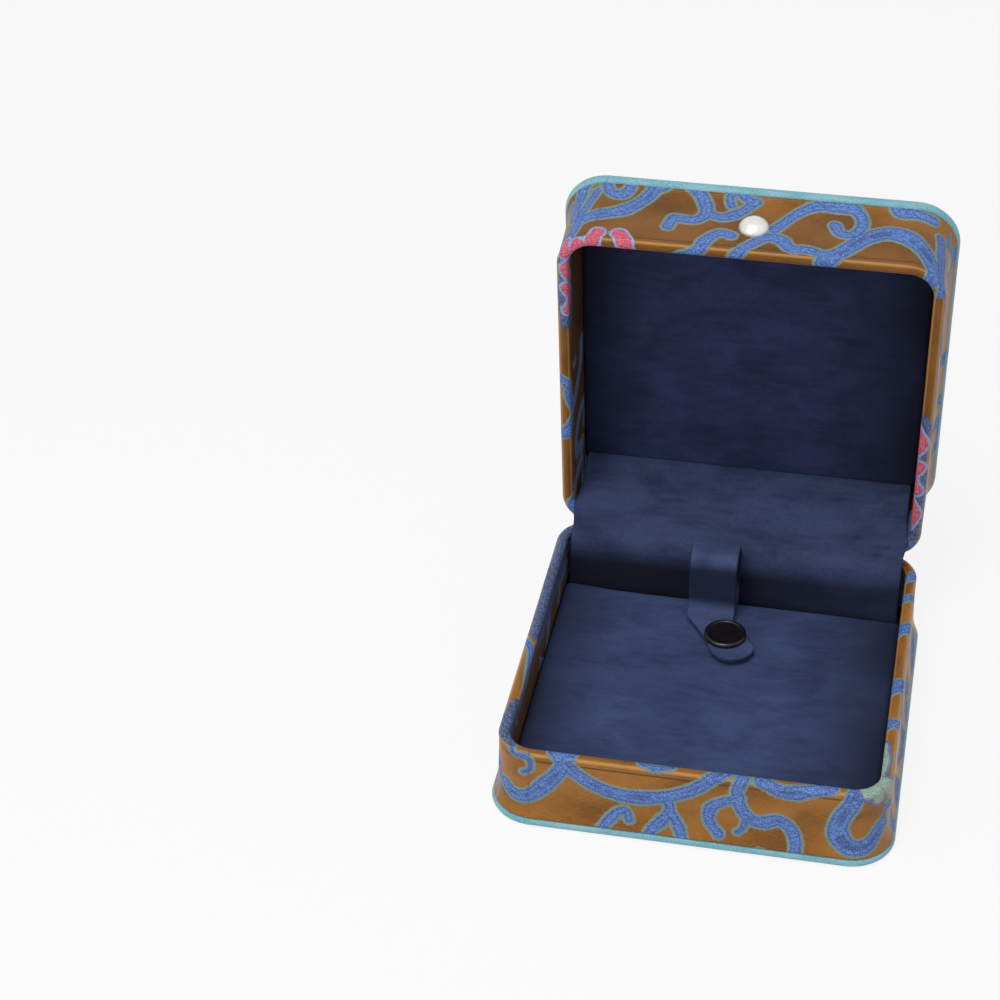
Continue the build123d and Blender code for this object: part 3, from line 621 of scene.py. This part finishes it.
def brocade_material():
    m = Mat("brocade", Roughness=0.45, Specular_IOR_Level=0.42, Specular_Tint=rgb(255, 216, 160),
            Sheen_Weight=0.06, Sheen_Roughness=0.4, Sheen_Tint=rgb(255, 214, 150))
    cloth = m.attr("cloth", vector=True)
    blue, pink, pale = m.attr("fig_blue"), m.attr("fig_pink"), m.attr("fig_pale")
    # fine fuzz at the figure's edges, from single threads
    thread = m.grain(cloth, (1.1, 5.5, 1))
    fuzz = m.mul(m.math("SUBTRACT", thread, 0.5), 1.15)
    d = m.add(blue, fuzz)
    dp = m.add(pink, fuzz)
    dl = m.add(pale, fuzz)
    # ground: bronze satin with tiny dark ties
    satin = m.grain(cloth, (0.5, 7.0, 1), 3.0, 0.6)
    ties = m.grain(cloth, (3.2, 3.2, 1), 2.0, 0.6)
    large = m.grain(cloth, (0.05, 0.09, 1))
    ground = m.two(satin, 0.3, 0.7, (122, 76, 28), (172, 114, 52))
    ground = m.over(
        ground, ((84, 50, 18), ties, 0.42, 0.64, 0.6), ((188, 128, 62), large, 0.34, 0.66, 0.45),
        ((78, 46, 18), large, 0.5, 0.3, 0.35))
    painted_rim_highlight_and_shade = m.attr("painted_rim_highlight_and_shade")
    # painted shade on the satin, lessened where the lid's painted highlight sweeps
    ground = m.mix(m.mul(m.attr("shade"), 0.5), ground, rgb(66, 38, 14))
    # painted highlight on the rim's folded edges and a painted shade line under the outer one
    ground = m.over(ground, ((214, 158, 94), painted_rim_highlight_and_shade, 0.25, 0.9, 0.45), ((64, 38, 16), painted_rim_highlight_and_shade, -0.3, -1.0, 0.8))
    # painted shade on the wall's inner face
    ground = m.mix(m.mul(m.attr("painted_inner_shade"), 0.7), ground, rgb(60, 38, 24))
    # figure: blue silk in short slanting stitches, with pale, lavender and teal flecks and a thin fuzzy edge
    slant = m.grain(cloth, (0.8, 4.2, 1), 2.0, 0.65, turn=(0, 0, 0.75))
    short = m.grain(cloth, (4.6, 1.5, 1), 2.0, 0.6, turn=(0, 0, 0.55))
    fill = m.two(slant, 0.36, 0.62, (54, 90, 176), (106, 156, 218))
    fill = m.over(fill, ((52, 66, 150), short, 0.52, 0.40, 0.6), ((176, 200, 236), short, 0.56, 0.68, 0.75))
    other = m.grain(cloth, (1.6, 3.6, 1), turn=(0, 0, 1.1))
    fill = m.over(fill, ((138, 126, 186), other, 0.57, 0.70, 0.40), ((96, 160, 178), other, 0.43, 0.32, 0.55))
    # wide bands are worked in two strands, with a soft dark line between them here and there
    broken = m.step(m.grain(cloth, (0.22, 0.22, 1)), 0.42, 0.6, 0.0, 0.5)
    core = m.mul(m.step(d, -1.55, -2.05), broken)
    fill = m.mix(core, fill, rgb(38, 50, 112))
    edge = m.two(ties, 0.4, 0.6, (112, 166, 174), (152, 148, 96))
    fleck = m.grain(cloth, (2.6, 5.2, 1), 1.0)
    edge = m.over(edge, ((74, 116, 150), fleck, 0.5, 0.66, 0.7))
    inner = m.mul(m.step(d, -1.25, -1.0), m.step(d, -0.85, -0.6, 1.0, 0.0))
    fill = m.mix(m.mul(inner, 0.5), fill, rgb(40, 60, 136))
    figure = m.mix(m.step(d, -0.68, -0.42), fill, edge)
    colour = m.mix(m.step(d, -0.02, 0.20), figure, ground)
    rim = m.step(dp, -0.2, 0.1)
    petal = m.two(slant, 0.42, 0.6, (198, 62, 92), (232, 124, 146))
    petal = m.over(petal, ((246, 190, 204), short, 0.56, 0.7, 0.6), ((112, 54, 96), other, 0.44, 0.34, 0.55))
    petal = m.mix(rim, petal, m.two(ties, 0.4, 0.6, (120, 136, 204), (168, 190, 222)))
    # patches where blue, grey-green, plum and dark threads are mixed
    patch = m.add(m.attr("fig_mix"), fuzz)
    mixed = m.two(slant, 0.42, 0.58, (40, 48, 98), (96, 124, 184))
    mixed = m.over(
        mixed, ((108, 116, 96), other, 0.52, 0.62, 0.85), ((40, 32, 40), short, 0.46, 0.36, 0.8),
        ((164, 178, 190), short, 0.6, 0.7, 0.8))
    colour = m.mix(m.step(patch, 0.1, 0.4, 1.0, 0.0), colour, mixed)
    colour = m.mix(m.step(dp, 0.5, 0.75, 1.0, 0.0), colour, petal)
    leaf = m.two(slant, 0.4, 0.6, (126, 156, 142), (172, 196, 178))
    leaf = m.mix(m.step(dl, -0.2, 0.1), leaf, rgb(96, 112, 176))
    colour = m.mix(m.step(dl, 0.45, 0.7, 1.0, 0.0), colour, leaf)
    m.set("Base Color", colour)
    shape = m.math("MINIMUM", m.math("MINIMUM", d, dp), dl)
    raised = m.step(shape, 0.25, -0.7)
    m.set("Roughness", m.step(raised, 0.0, 1.0, 0.36, 0.62))
    weave = m.add(m.mul(satin, 0.10), m.mul(ties, 0.12))
    stitches = m.mul(m.mul(slant, raised), 0.5)
    height = m.add(m.add(raised, stitches), weave)
    m.set("Normal", m.bump(height, 0.85, 0.00022))
    return m.m


def piping_material():
    m = Mat("piping_cloth", Roughness=0.5, Specular_IOR_Level=0.4, Sheen_Weight=0.25, Sheen_Roughness=0.4)
    cloth = m.attr("cloth", vector=True)
    twill = m.grain(cloth, (6.0, 1.4, 1), 2.0, 0.6, turn=(0, 0, 0.78))
    patch = m.grain(cloth, (0.09, 0.3, 1), 3.0)
    colour = m.two(twill, 0.35, 0.65, (84, 150, 170), (134, 194, 206))
    colour = m.over(colour, ((172, 206, 212), patch, 0.35, 0.7, 0.45))
    m.set("Base Color", colour)
    m.set("Normal", m.bump(m.add(twill, m.mul(patch, 1.5)), 0.6, 0.00012))
    return m.m


def lining_material(name, light, dark, edge):
    """navy leatherette with a brushed, cloudy nap; edge is the darker colour laid on by the mesh's mask, mostly
    as painted shade, and on the strap also for its cut edges
    """
    m = Mat(name, Roughness=0.8, Specular_IOR_Level=0.2, Sheen_Weight=0.12, Sheen_Roughness=0.5,
            Sheen_Tint=rgb(150, 165, 215))
    co = m.coords()
    cloud = m.grain(co, (55, 85, 85), 4.0, 0.65, 0.4)
    streak = m.grain(co, (110, 620, 620), 3.0, 0.6)
    grain = m.grain(co, (1900, 1900, 1900), 3.0, 0.65)
    colour = m.mix(m.step(cloud, 0.30, 0.68), dark, light)
    colour = m.mix(m.step(streak, 0.42, 0.70, 0.0, 0.42), colour, light)
    colour = m.mix(m.step(streak, 0.48, 0.28, 0.0, 0.30), colour, dark)
    colour = m.mix(m.step(grain, 0.62, 0.36, 0.0, 0.38), colour, dark)
    # painted shade, and the strap's cut edges, in the edge colour
    colour = m.mix(m.attr("cut"), colour, edge)
    m.set("Base Color", colour)
    height = m.add(m.mul(grain, 0.6), m.mul(streak, 0.5))
    m.set("Normal", m.bump(height, 0.6, 0.00012))
    return m.m


def metal_material(name, colour, dark, rough):
    m = Mat(name, Metallic=1.0, Roughness=rough)
    co = m.coords()
    a = m.grain(co, (900, 180, 900), 3.0)
    b = m.grain(co, (180, 180, 180), 3.0)
    m.set("Base Color", m.mix(m.step(b, 0.35, 0.75), colour, dark))
    m.set("Roughness", m.step(a, 0.3, 0.7, rough * 0.8, rough * 1.3))
    m.set("Normal", m.bump(a, 0.15, 0.00003))
    return m.m


def plain_material(name, colour, dark, rough, scale=1200):
    m = Mat(name, Roughness=rough)
    co = m.coords()
    a = m.grain(co, (scale, scale, scale), 3.0)
    b = m.grain(co, (90, 90, 90), 3.0)
    both = m.add(m.mul(a, 0.6), m.mul(b, 0.4))
    m.set("Base Color", m.mix(m.step(both, 0.35, 0.7), dark, colour))
    m.set("Normal", m.bump(a, 0.3, 0.00008))
    return m.m


BROCADE = brocade_material()
PIPING = piping_material()
# each lining's third colour is laid on by its mask as painted shade on the pads' sides, the flap's low part and
# the strap's upright face, and on the strap also for its cut edges
NAVY = lining_material("navy_leatherette", rgb(67, 82, 122), rgb(46, 57, 92), rgb(30, 37, 62))
# the lid's panel: a darker copy of the same leatherette, as painted shade from the lid's walls
NAVY_LID_SHADED = lining_material("navy_leatherette_lid_shaded", rgb(48, 56, 96), rgb(30, 36, 66), rgb(18, 22, 40))
NAVY_FLAP = lining_material("navy_leatherette_flap", rgb(60, 72, 106), rgb(37, 45, 76), rgb(12, 15, 30))
STRAP = lining_material("navy_strap", rgb(73, 87, 126), rgb(50, 61, 96), rgb(20, 26, 48))
STEEL = metal_material("hinge_steel", rgb(190, 190, 188), rgb(140, 140, 140), 0.34)
BRASS = metal_material("snap_metal", rgb(186, 172, 130), rgb(140, 124, 84), 0.38)
CAP = plain_material("black_cap", rgb(26, 22, 24), rgb(12, 10, 12), 0.28, 600)
CARD = plain_material("card", rgb(176, 164, 140), rgb(146, 134, 110), 0.9)
FOAM = plain_material("foam", rgb(236, 230, 214), rgb(214, 206, 188), 0.95, 2200)
SHELL = plain_material("moulded_shell", rgb(78, 72, 66), rgb(54, 50, 46), 0.6)
UNDER = plain_material("underside_cloth", rgb(40, 42, 56), rgb(24, 26, 36), 0.9, 2400)


def silver_material():
    m = Mat("silver_knob", Metallic=0.6, Roughness=0.3)
    co = m.coords()
    a = m.grain(co, (700, 700, 700), 3.0)
    b = m.grain(co, (160, 160, 160))
    m.set("Base Color", m.two(b, 0.35, 0.75, (250, 248, 244), (226, 220, 210)))
    m.set("Roughness", m.step(a, 0.3, 0.7, 0.26, 0.42))
    m.set("Normal", m.bump(a, 0.2, 0.00004))
    return m.m


SILVER = silver_material()


def finish_piece(ob, body, material, nodes):
    """the piece's material, the body it rides on unless it bends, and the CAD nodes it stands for"""
    ob.data.materials.clear()
    ob.data.materials.append(material)
    if body:
        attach(ob, body)
    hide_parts(*nodes)


# ---- brocade walls
base_wall = wall_skin("base_wall_cloth", BASE_LEVEL, BASE_FLARE, BASE_TUCK, in_base, (0, -1, 0), 3,
                      BASE_FRONT, [], BASE_PALE, BASE_MIX, [(-90, -61, 1.5), (46, 126, 2.5)], (30, 12, -20))
lid_wall = wall_skin("lid_wall_cloth", LID_LEVEL, LID_FLARE, LID_TUCK, in_lid, (0, 0, 1), 5,
                     LID_FRONT, LID_PINK, [], LID_MIX, [(-88, -46, 2.0), (52, 132, 3.0)], (20, 34, -4))
for ob, node, body, shell, level, flare, deep in (
        (base_wall, "base_brocade", "base", "base_shell", BASE_LEVEL, BASE_FLARE, BASE_TUCK),
        (lid_wall, "lid_brocade", "lid", "lid_shell", LID_LEVEL, LID_FLARE, LID_TUCK)):
    finish_piece(ob, body, BROCADE, (node,))
    float(skin_profile(level, flare, deep)[1][-1]) * MM

# ---- piping
base_cord = cord_ring("base_welt", BASE_CORD, BASE_LEVEL + BASE_CORD, in_base, 11)
finish_piece(base_cord, "base", PIPING, ("base_piping",))
lid_cord = cord_ring("lid_welt", LID_CORD, LID_LEVEL + LID_CORD, in_lid, 12)
finish_piece(lid_cord, "lid", PIPING, ("lid_piping",))


# ---- padded top of the lid
def crown_height(x, y, t, shrink):
    """the crowned top: a shallow dome that rolls over to the piping, with soft unevenness from the foam"""
    low, high = 22.7, 26.6
    edge = 1 - np.clip(shrink / 3.2, 0, 1)
    roll = np.sqrt(np.clip(1 - edge ** 2.2, 0, 1))
    dome = high - (x ** 2 + y ** 2) / 1500
    puff = 0.10 * value_noise(np.stack([x, y, x * 0], -1) * 0.07 + 3, 9)
    return low + (dome + puff * roll - low) * roll


def crown_cloth(ob, P):
    """the top's figures and an even painted shade on its satin; the rim's painted highlights and the inner
    painted shade are the walls' alone
    """
    for name, value in (("painted_rim_highlight_and_shade", 0.0), ("painted_inner_shade", 0.0), ("shade", 0.3)):
        attribute(ob, name, np.full(len(P), value))
    marks = [stroke_distance(P[:, :2], strokes) for strokes in (TOP_BLUE, TOP_PINK, TOP_PALE, [])]
    dress(ob, marks, P * [1, 1, 0])


crown_levels = [(s, 0.0) for s in np.r_[0, 0.1, 0.25, 0.45, 0.7, np.arange(1.0, 46, 0.62)]]
top_panel = cushion("lid_top_cushion", in_lid, square_outline(TOP_INSET, 110, 22), crown_levels,
                    crown_height, crown_cloth)
finish_piece(top_panel, "lid", BROCADE, ("top_brocade",))


# ---- navy pads
def pad_height(face, back, seed):
    """the pad's face at distance face from the seam, its sides down to back"""
    crown = 0.25

    def height(x, y, t, shrink):
        up = np.clip(shrink / 1.5, 0, 1)
        roll = np.sqrt(np.clip(1 - (1 - up) ** 2, 0, 1))
        inner = np.clip((shrink - 1.0) / 12, 0, 1)
        N = np.stack([x, y, x * 0], -1)
        soft = 0.09 * value_noise(N * 0.06 + 5, seed) + 0.035 * value_noise(N * 0.22 + 9, seed + 1)
        t_face = face - crown * (inner * (2 - inner)) + soft * inner + crown * 0.5
        return np.where(t > back - 0.01, t, face + 1.5 + (t_face - face - 1.5) * roll)
    return height


def pad_side_shade(ob, P):
    """painted shade: a pad darker towards its sides, where the walls shade it, with a slow wobble"""
    side = np.clip((np.abs(P[:, 0] + 3) - 22) / 24, 0, 1)
    wave = 0.25 * value_noise(P * [0.07, 0.05, 0] + 11, 61)
    attribute(ob, "cut", np.clip(0.9 * side * (1 + wave), 0, 1))


def pad_levels(back):
    """rings from the pad's back edge up its sides and over its face"""
    shrinks = np.r_[0.08, 0.2, 0.4, 0.65, 0.95, 1.3, 1.8, 2.5, np.arange(3.5, 36, 1.2)]
    return [(0.0, back), (0.0, 0.0)] + [(s, 0.0) for s in shrinks]


def build_pad(name, place, face, back, rear, node, body, seed, wave=0.0):
    """a navy cushion that ends at rear, with its face and back at these distances from the seam"""
    height = pad_height(face, back, seed)
    ob = cushion(name, place, liner_outline(rear, wave), pad_levels(back), height, pad_side_shade)
    finish_piece(ob, body, NAVY if body == "base" else NAVY_LID_SHADED, (node,))


build_pad("tray_pad", in_base, 11.4, 18.6, 33.4, "pad_cover", "base", 21, 1.0)
build_pad("lid_inner_pad", in_lid, 18.0, 21.0, 38.3, "lid_panel_cover", "lid", 31)


# ---- hinge flap
def normals(line):
    """unit normals to the left of a line"""
    tangent = np.gradient(line, axis=0)
    tangent /= np.linalg.norm(tangent, axis=1)[:, None]
    return np.stack([-tangent[:, 1], tangent[:, 0]], 1)


def tube_faces(rows, cols, flip=False, start=0):
    """a closed grid's faces and one over each of its ends"""
    turn = 1 if flip else -1
    first = start + np.arange(cols)
    last = first + (rows - 1) * cols
    return [*(start + grid_faces(rows, cols, close=True, flip=flip)), first[::turn], last[::-turn]]


def rounded_line(points, radii, step):
    """a polyline with its corners rounded, in even steps"""
    pts = [np.asarray(p, float) for p in points]
    line = [pts[0]]
    for a, b, c, r in zip(pts, pts[1:], pts[2:], radii):
        u, v = (a - b) / np.linalg.norm(a - b), (c - b) / np.linalg.norm(c - b)
        half = math.acos(np.clip(u @ v, -1, 1)) / 2
        cut = r / math.tan(half)
        p, q = b + u * cut, b + v * cut
        centre = b + (u + v) / np.linalg.norm(u + v) * r / math.sin(half)
        line += list(arc_between(centre, p, q, r, 12))
    line.append(pts[-1])
    return resample(np.array(line), step)


def lid_yz(y, t):
    """y and z, with the lid open, of a place in the lid at distance t from the seam"""
    P = opened(np.array([0, y, SEAM + t]))
    return (P[1], P[2])


flap_line, flap_s = rounded_line(
    [(35.0, 4.1), (35.0, 11.0), (38.0, 24.2), lid_yz(38.6, 16.5), lid_yz(38.6, 20.7)], [3.0, 4.0, 6.0], 0.6)


def build_flap():
    """the gusset from the pad's rear edge to the lid's panel, with a soft bulge at its bend"""
    rows, cols = len(flap_line), 150
    x = np.linspace(-1, 1, cols)
    G = np.zeros((rows, cols, 3))
    for k, ((y, z), normal) in enumerate(zip(flap_line, normals(flap_line))):
        X = x * (43.9 + 0.9 * math.exp(-((y - 46.5) / 3.6) ** 2))
        N = np.stack([X * 0.05, np.full(cols, flap_s[k] * 0.22), X * 0], 1)
        band = math.exp(-((y - 50) / 8) ** 2)
        push = 0.22 * value_noise(N + 2, 41) * (0.35 + band)
        push = push + 0.08 * value_noise(N * [4, 2.5, 1], 42) * (0.3 + band)
        ends = 1 - np.clip((np.abs(x) - 0.9) / 0.1, 0, 1) ** 2
        out = push * ends + 0.3 * band * (1 - x ** 2)
        G[k] = np.stack([X, y + normal[0] * out, z + normal[1] * out], 1)
    ob = add_mesh("hinge_flap_cloth", G.reshape(-1, 3) * MM, grid_faces(rows, cols, flip=True))
    # painted shade over the flap's low, upright part, a little less towards the right
    low = np.clip((21.5 - G[..., 2]) / 4, 0, 1) * (G[..., 1] < 45) * (1 - 0.35 * np.clip(x / 0.9, 0, 1))
    attribute(ob, "cut", low.ravel())
    thicken(ob, 0.8)
    return ob


flap = build_flap()
finish_piece(flap, None, NAVY_FLAP, ("hinge_flap",))
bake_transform(flap)


# ---- strap
TIP_X, TIP_Y, TIP_R = 2.8, 12.3, 6.0
STRAP_LEFT, STRAP_RIGHT = -10.4, 2.0
TAB_ROOT, TAB_TOP = 22.85, 13.8
strap_points = [(34.7, 6.0), (34.7, 11.0), (38.0, 29.8), (26.3, 29.8), (26.0, TAB_TOP), (TIP_Y + 0.8, TAB_TOP)]
strap_line, strap_s = rounded_line(strap_points, [3.0, 4.7, 4.7, 2.6], 0.35)


def tab_sides(y):
    """the tab's left and right side on their way to its round end"""
    f = min((TAB_ROOT - y) / (TAB_ROOT - TIP_Y), 1.0)
    return STRAP_LEFT + (TIP_X + 4.5) * f, STRAP_RIGHT + (TIP_X + 3.9) * f


def build_strap():
    """one ribbon: its root, its loop, and the tab that lies over the pad and turns to the right"""
    rim = 12
    # the cross-section: a flat band with rounded cut edges, as (side, depth)
    a = np.linspace(-math.pi / 2, math.pi / 2, 9)
    edge = np.stack([1 - 0.075 + 0.075 * np.cos(a), 0.5 + 0.5 * np.sin(a)], 1)
    upper = np.stack([np.linspace(-0.92, 0.92, rim), np.zeros(rim)], 1)
    lower = np.stack([np.linspace(0.92, -0.92, rim), np.ones(rim)], 1)
    section = np.vstack([upper, edge, lower, (edge * [-1, 1])[::-1]])
    V = []

    def row(left, right, y, z, under):
        centre, half = (left + right) / 2, (right - left) / 2
        V.append([(centre + side * half, y + under[0] * d, z + under[1] * d) for side, d in section])

    for (y, z), under in zip(strap_line, normals(strap_line)):
        on_tab = z < 14.5 and y < TAB_ROOT
        row(*(tab_sides(y) if on_tab else (STRAP_LEFT, STRAP_RIGHT)), y, z, under)
    # the round end, as rows that narrow to the tip
    end = TIP_Y - TIP_R
    for y in [*np.linspace(strap_line[-1, 0] - 0.35, end + 0.8, 18), end + 0.45, end + 0.2, end + 0.06]:
        w = math.sqrt(TIP_R ** 2 - min(max(TIP_Y - y, 0), TIP_R - 0.001) ** 2)
        left, right = TIP_X - w, TIP_X + w
        if y > TIP_Y:
            left, right = max(left, tab_sides(y)[0]), min(right, tab_sides(y)[1])
        row(left, right, y, TAB_TOP, (0, -1))
    V = np.array(V)
    N = V.reshape(-1, 3)
    wob = 0.10 * value_noise(N * [0.12, 0.16, 0.16] + 4, 51)
    N = N + np.stack([wob * 0, wob, wob], 1) * np.clip((N[:, 2:3] - 14.5) / 3, 0, 1)
    ob = add_mesh("strap_ribbon", N * MM, tube_faces(*V.shape[:2], flip=True))
    # painted shade on the strap's upright face; the band's cut sides are darker too, as its cut edges
    front = np.clip((V[..., 2] - 14) / 3, 0, 1) * np.clip((28.5 - V[..., 2]) / 2.5, 0, 1) * 0.85
    cut = (section[:, 1] > 0.04) & (section[:, 1] < 0.96)
    attribute(ob, "cut", np.clip(0.35 * cut + front, 0, 1).ravel())
    return ob


strap = build_strap()
finish_piece(strap, None, STRAP, ("strap_loop", "strap_tab"))
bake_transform(strap)


# ---- press-stud cap and lift knob
def turned(name, profile, at, axis, material, body, node):
    """a turned piece from its profile of (radius, height) about an axis"""
    a = np.linspace(0, 2 * math.pi, 96, endpoint=False)
    axis = np.asarray(axis, float) / np.linalg.norm(axis)
    side = np.cross(axis, [1, 0, 0] if abs(axis[0]) < 0.9 else [0, 1, 0])
    side /= np.linalg.norm(side)
    other = np.cross(axis, side)
    rings = [at + axis * h + r * (np.cos(a)[:, None] * side + np.sin(a)[:, None] * other) for r, h in profile]
    ob = add_mesh(name, np.vstack(rings) * MM, tube_faces(len(profile), len(a)))
    finish_piece(ob, body, material, node)


cap_profile = [(1.35, -1.0), (1.35, 0.02), (5.0, 0.02), (5.35, 0.1), (5.5, 0.3), (5.5, 0.75), (5.38, 1.05),
               (5.1, 1.28), (4.75, 1.38), (4.5, 1.34), (4.35, 1.2), (4.15, 1.13), (3.0, 1.15), (1.4, 1.2),
               (0.5, 1.22), (0.05, 1.22)]
cap_at = np.array([0.8, 15.5, TAB_TOP])
turned("stud_cap", cap_profile, cap_at, (0, 0, 1), CAP, "strap", ("snap_cap",))

knob_at = opened(np.array([-0.1, -47.75, SEAM + 9.9]))
knob_axis = opened(np.array([-0.1, -48.75, SEAM + 9.9])) - knob_at
knob_profile = [(1.15, -4.2), (1.15, 0.0), (3.3, 0.0), (3.6, 0.08), (3.75, 0.35), (3.75, 0.8), (3.66, 1.15),
                (3.45, 1.5), (3.1, 1.95), (2.6, 2.4), (2.0, 2.72), (1.6, 2.84), (1.45, 2.8), (1.3, 2.84),
                (1.1, 2.92), (0.6, 2.98), (0.05, 3.0)]
turned("lift_knob", knob_profile, knob_at, knob_axis, SILVER, "lid", ("lift_stud",))


# ---- hinge springs, which bend as the lid turns
def build_springs():
    """two bent wires from the base's hinge leaf to the lid's"""
    far, near = lid_yz(44.6, 9.0), lid_yz(45.45, 9.0)
    bend_z = SEAM + 2.0 * math.tan(OPEN / 2)
    bends = [(45.45, SEAM - 9), (44.6, SEAM - 9), (44.6, bend_z), far, near]
    line, _ = rounded_line(bends, [0.7, 2.0, 0.7], 0.3)
    across = normals(line)
    a = np.linspace(0, 2 * math.pi, 12, endpoint=False)
    V, F = [], []
    for x in (-20.0, 20.0):
        F += tube_faces(len(line), len(a), start=len(V))
        for (y, z), (ny, nz) in zip(line, across):
            V += [(x + 0.35 * math.cos(b), y + 0.35 * math.sin(b) * ny, z + 0.35 * math.sin(b) * nz) for b in a]
    return add_mesh("hinge_spring_wires", np.array(V) * MM, F)


springs = build_springs()
finish_piece(springs, None, STEEL, ("hinge_springs",))
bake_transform(springs)

# ---- CAD nodes that stay, with their finish
for material, nodes in (
        (SHELL, "base_shell lid_shell"),
        (UNDER, "bottom_cloth"),
        (CARD, "bottom_board pad_board lid_panel_board top_board"),
        (FOAM, "pad_foam lid_panel_foam top_foam"),
        (STEEL, "hinge_leaf_base hinge_leaf_lid hinge_pin hinge_rivets_base hinge_rivets_lid lift_stud_washer"),
        (BRASS, "snap_socket snap_stud snap_post")):
    for node in nodes.split():
        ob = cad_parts[node]
        if hasattr(ob, "material_slots"):
            if not ob.material_slots:
                ob.data.materials.append(material)
            for s in ob.material_slots:
                s.material = material

# ---- camera, floor and light
cam_data = bpy.data.cameras.new("camera")
cam_data.sensor_width = 36.0
cam_data.lens = 2497.37 * 36.0 / 1000  # a focal length of 2497 pixels in a picture 1000 wide
cam_data.clip_start, cam_data.clip_end = 0.01, 50
cam = bpy.data.objects.new("camera", cam_data)
scene.collection.objects.link(cam)
# its columns are right, up, back and the place, fitted to the photograph's corners and edges
cam.matrix_world = Matrix((
    (0.979301, -0.106683, 0.17201, 0.051538),
    (0.201692, 0.585724, -0.785015, -0.486775),
    (-0.017003, 0.803459, 0.595117, 0.430717),
    (0, 0, 0, 1),
))
scene.camera = cam


def white_for_camera(tree, shader, white, share, output):
    """lets what the camera, mirrors and glass see run to white, while the object's light stays as it is"""
    rays = tree.nodes.new("ShaderNodeLightPath").outputs
    seen = rays["Is Camera Ray"]
    for operation, other in (("MAXIMUM", rays["Is Transmission Ray"]), ("MAXIMUM", rays["Is Glossy Ray"]),
                             ("MULTIPLY", None)):
        step = tree.nodes.new("ShaderNodeMath")
        step.operation = operation
        tree.links.new(seen, step.inputs[0])
        if other:
            tree.links.new(other, step.inputs[1])
        else:
            step.inputs[1].default_value = share
        seen = step.outputs[0]
    join = tree.nodes.new("ShaderNodeMixShader")
    for source, socket in zip((seen, shader.outputs[0], white.outputs[0]), join.inputs):
        tree.links.new(source, socket)
    tree.links.new(join.outputs[0], tree.nodes[output].inputs["Surface"])


floor_mesh = bpy.data.meshes.new("floor")
floor_mesh.from_pydata([(-6, -6, 0), (6, -6, 0), (6, 6, 0), (-6, 6, 0)], [], [(0, 1, 2, 3)])
floor = bpy.data.objects.new("floor", floor_mesh)
scene.collection.objects.link(floor)
floor_mat = bpy.data.materials.new("floor_white")
floor_mat.use_nodes = True
ft = floor_mat.node_tree
fb = ft.nodes["Principled BSDF"]
fb.inputs["Base Color"].default_value = (0.86, 0.86, 0.86, 1)
fb.inputs["Roughness"].default_value = 0.9
glow = ft.nodes.new("ShaderNodeEmission")
glow.inputs["Strength"].default_value = 1.0
white_for_camera(ft, fb, glow, 0.85, "Material Output")
floor_mesh.materials.append(floor_mat)

world = bpy.data.worlds.new("world")
scene.world = world
world.use_nodes = True
wt = world.node_tree
bg = wt.nodes["Background"]
bg.inputs["Color"].default_value = (1, 1, 1, 1)
bg.inputs["Strength"].default_value = 0.38
seen_bg = wt.nodes.new("ShaderNodeBackground")
seen_bg.inputs["Strength"].default_value = 1.0
white_for_camera(wt, bg, seen_bg, 1.0, "World Output")


def lamp(name, at, aim, size, power):
    data = bpy.data.lights.new(name, "AREA")
    data.shape = "DISK"
    data.size = size
    data.energy = power
    ob = bpy.data.objects.new(name, data)
    ob.location = at
    ob.rotation_mode = "QUATERNION"
    ob.rotation_quaternion = (Vector(aim) - Vector(at)).to_track_quat("-Z", "Y")
    scene.collection.objects.link(ob)


lamp("lamp_top", (-0.10, -0.30, 0.85), (0, 0, 0.03), 0.45, 3.6)
lamp("lamp_front", (-0.45, -0.75, 0.55), (0, 0, 0.04), 0.5, 1.6)
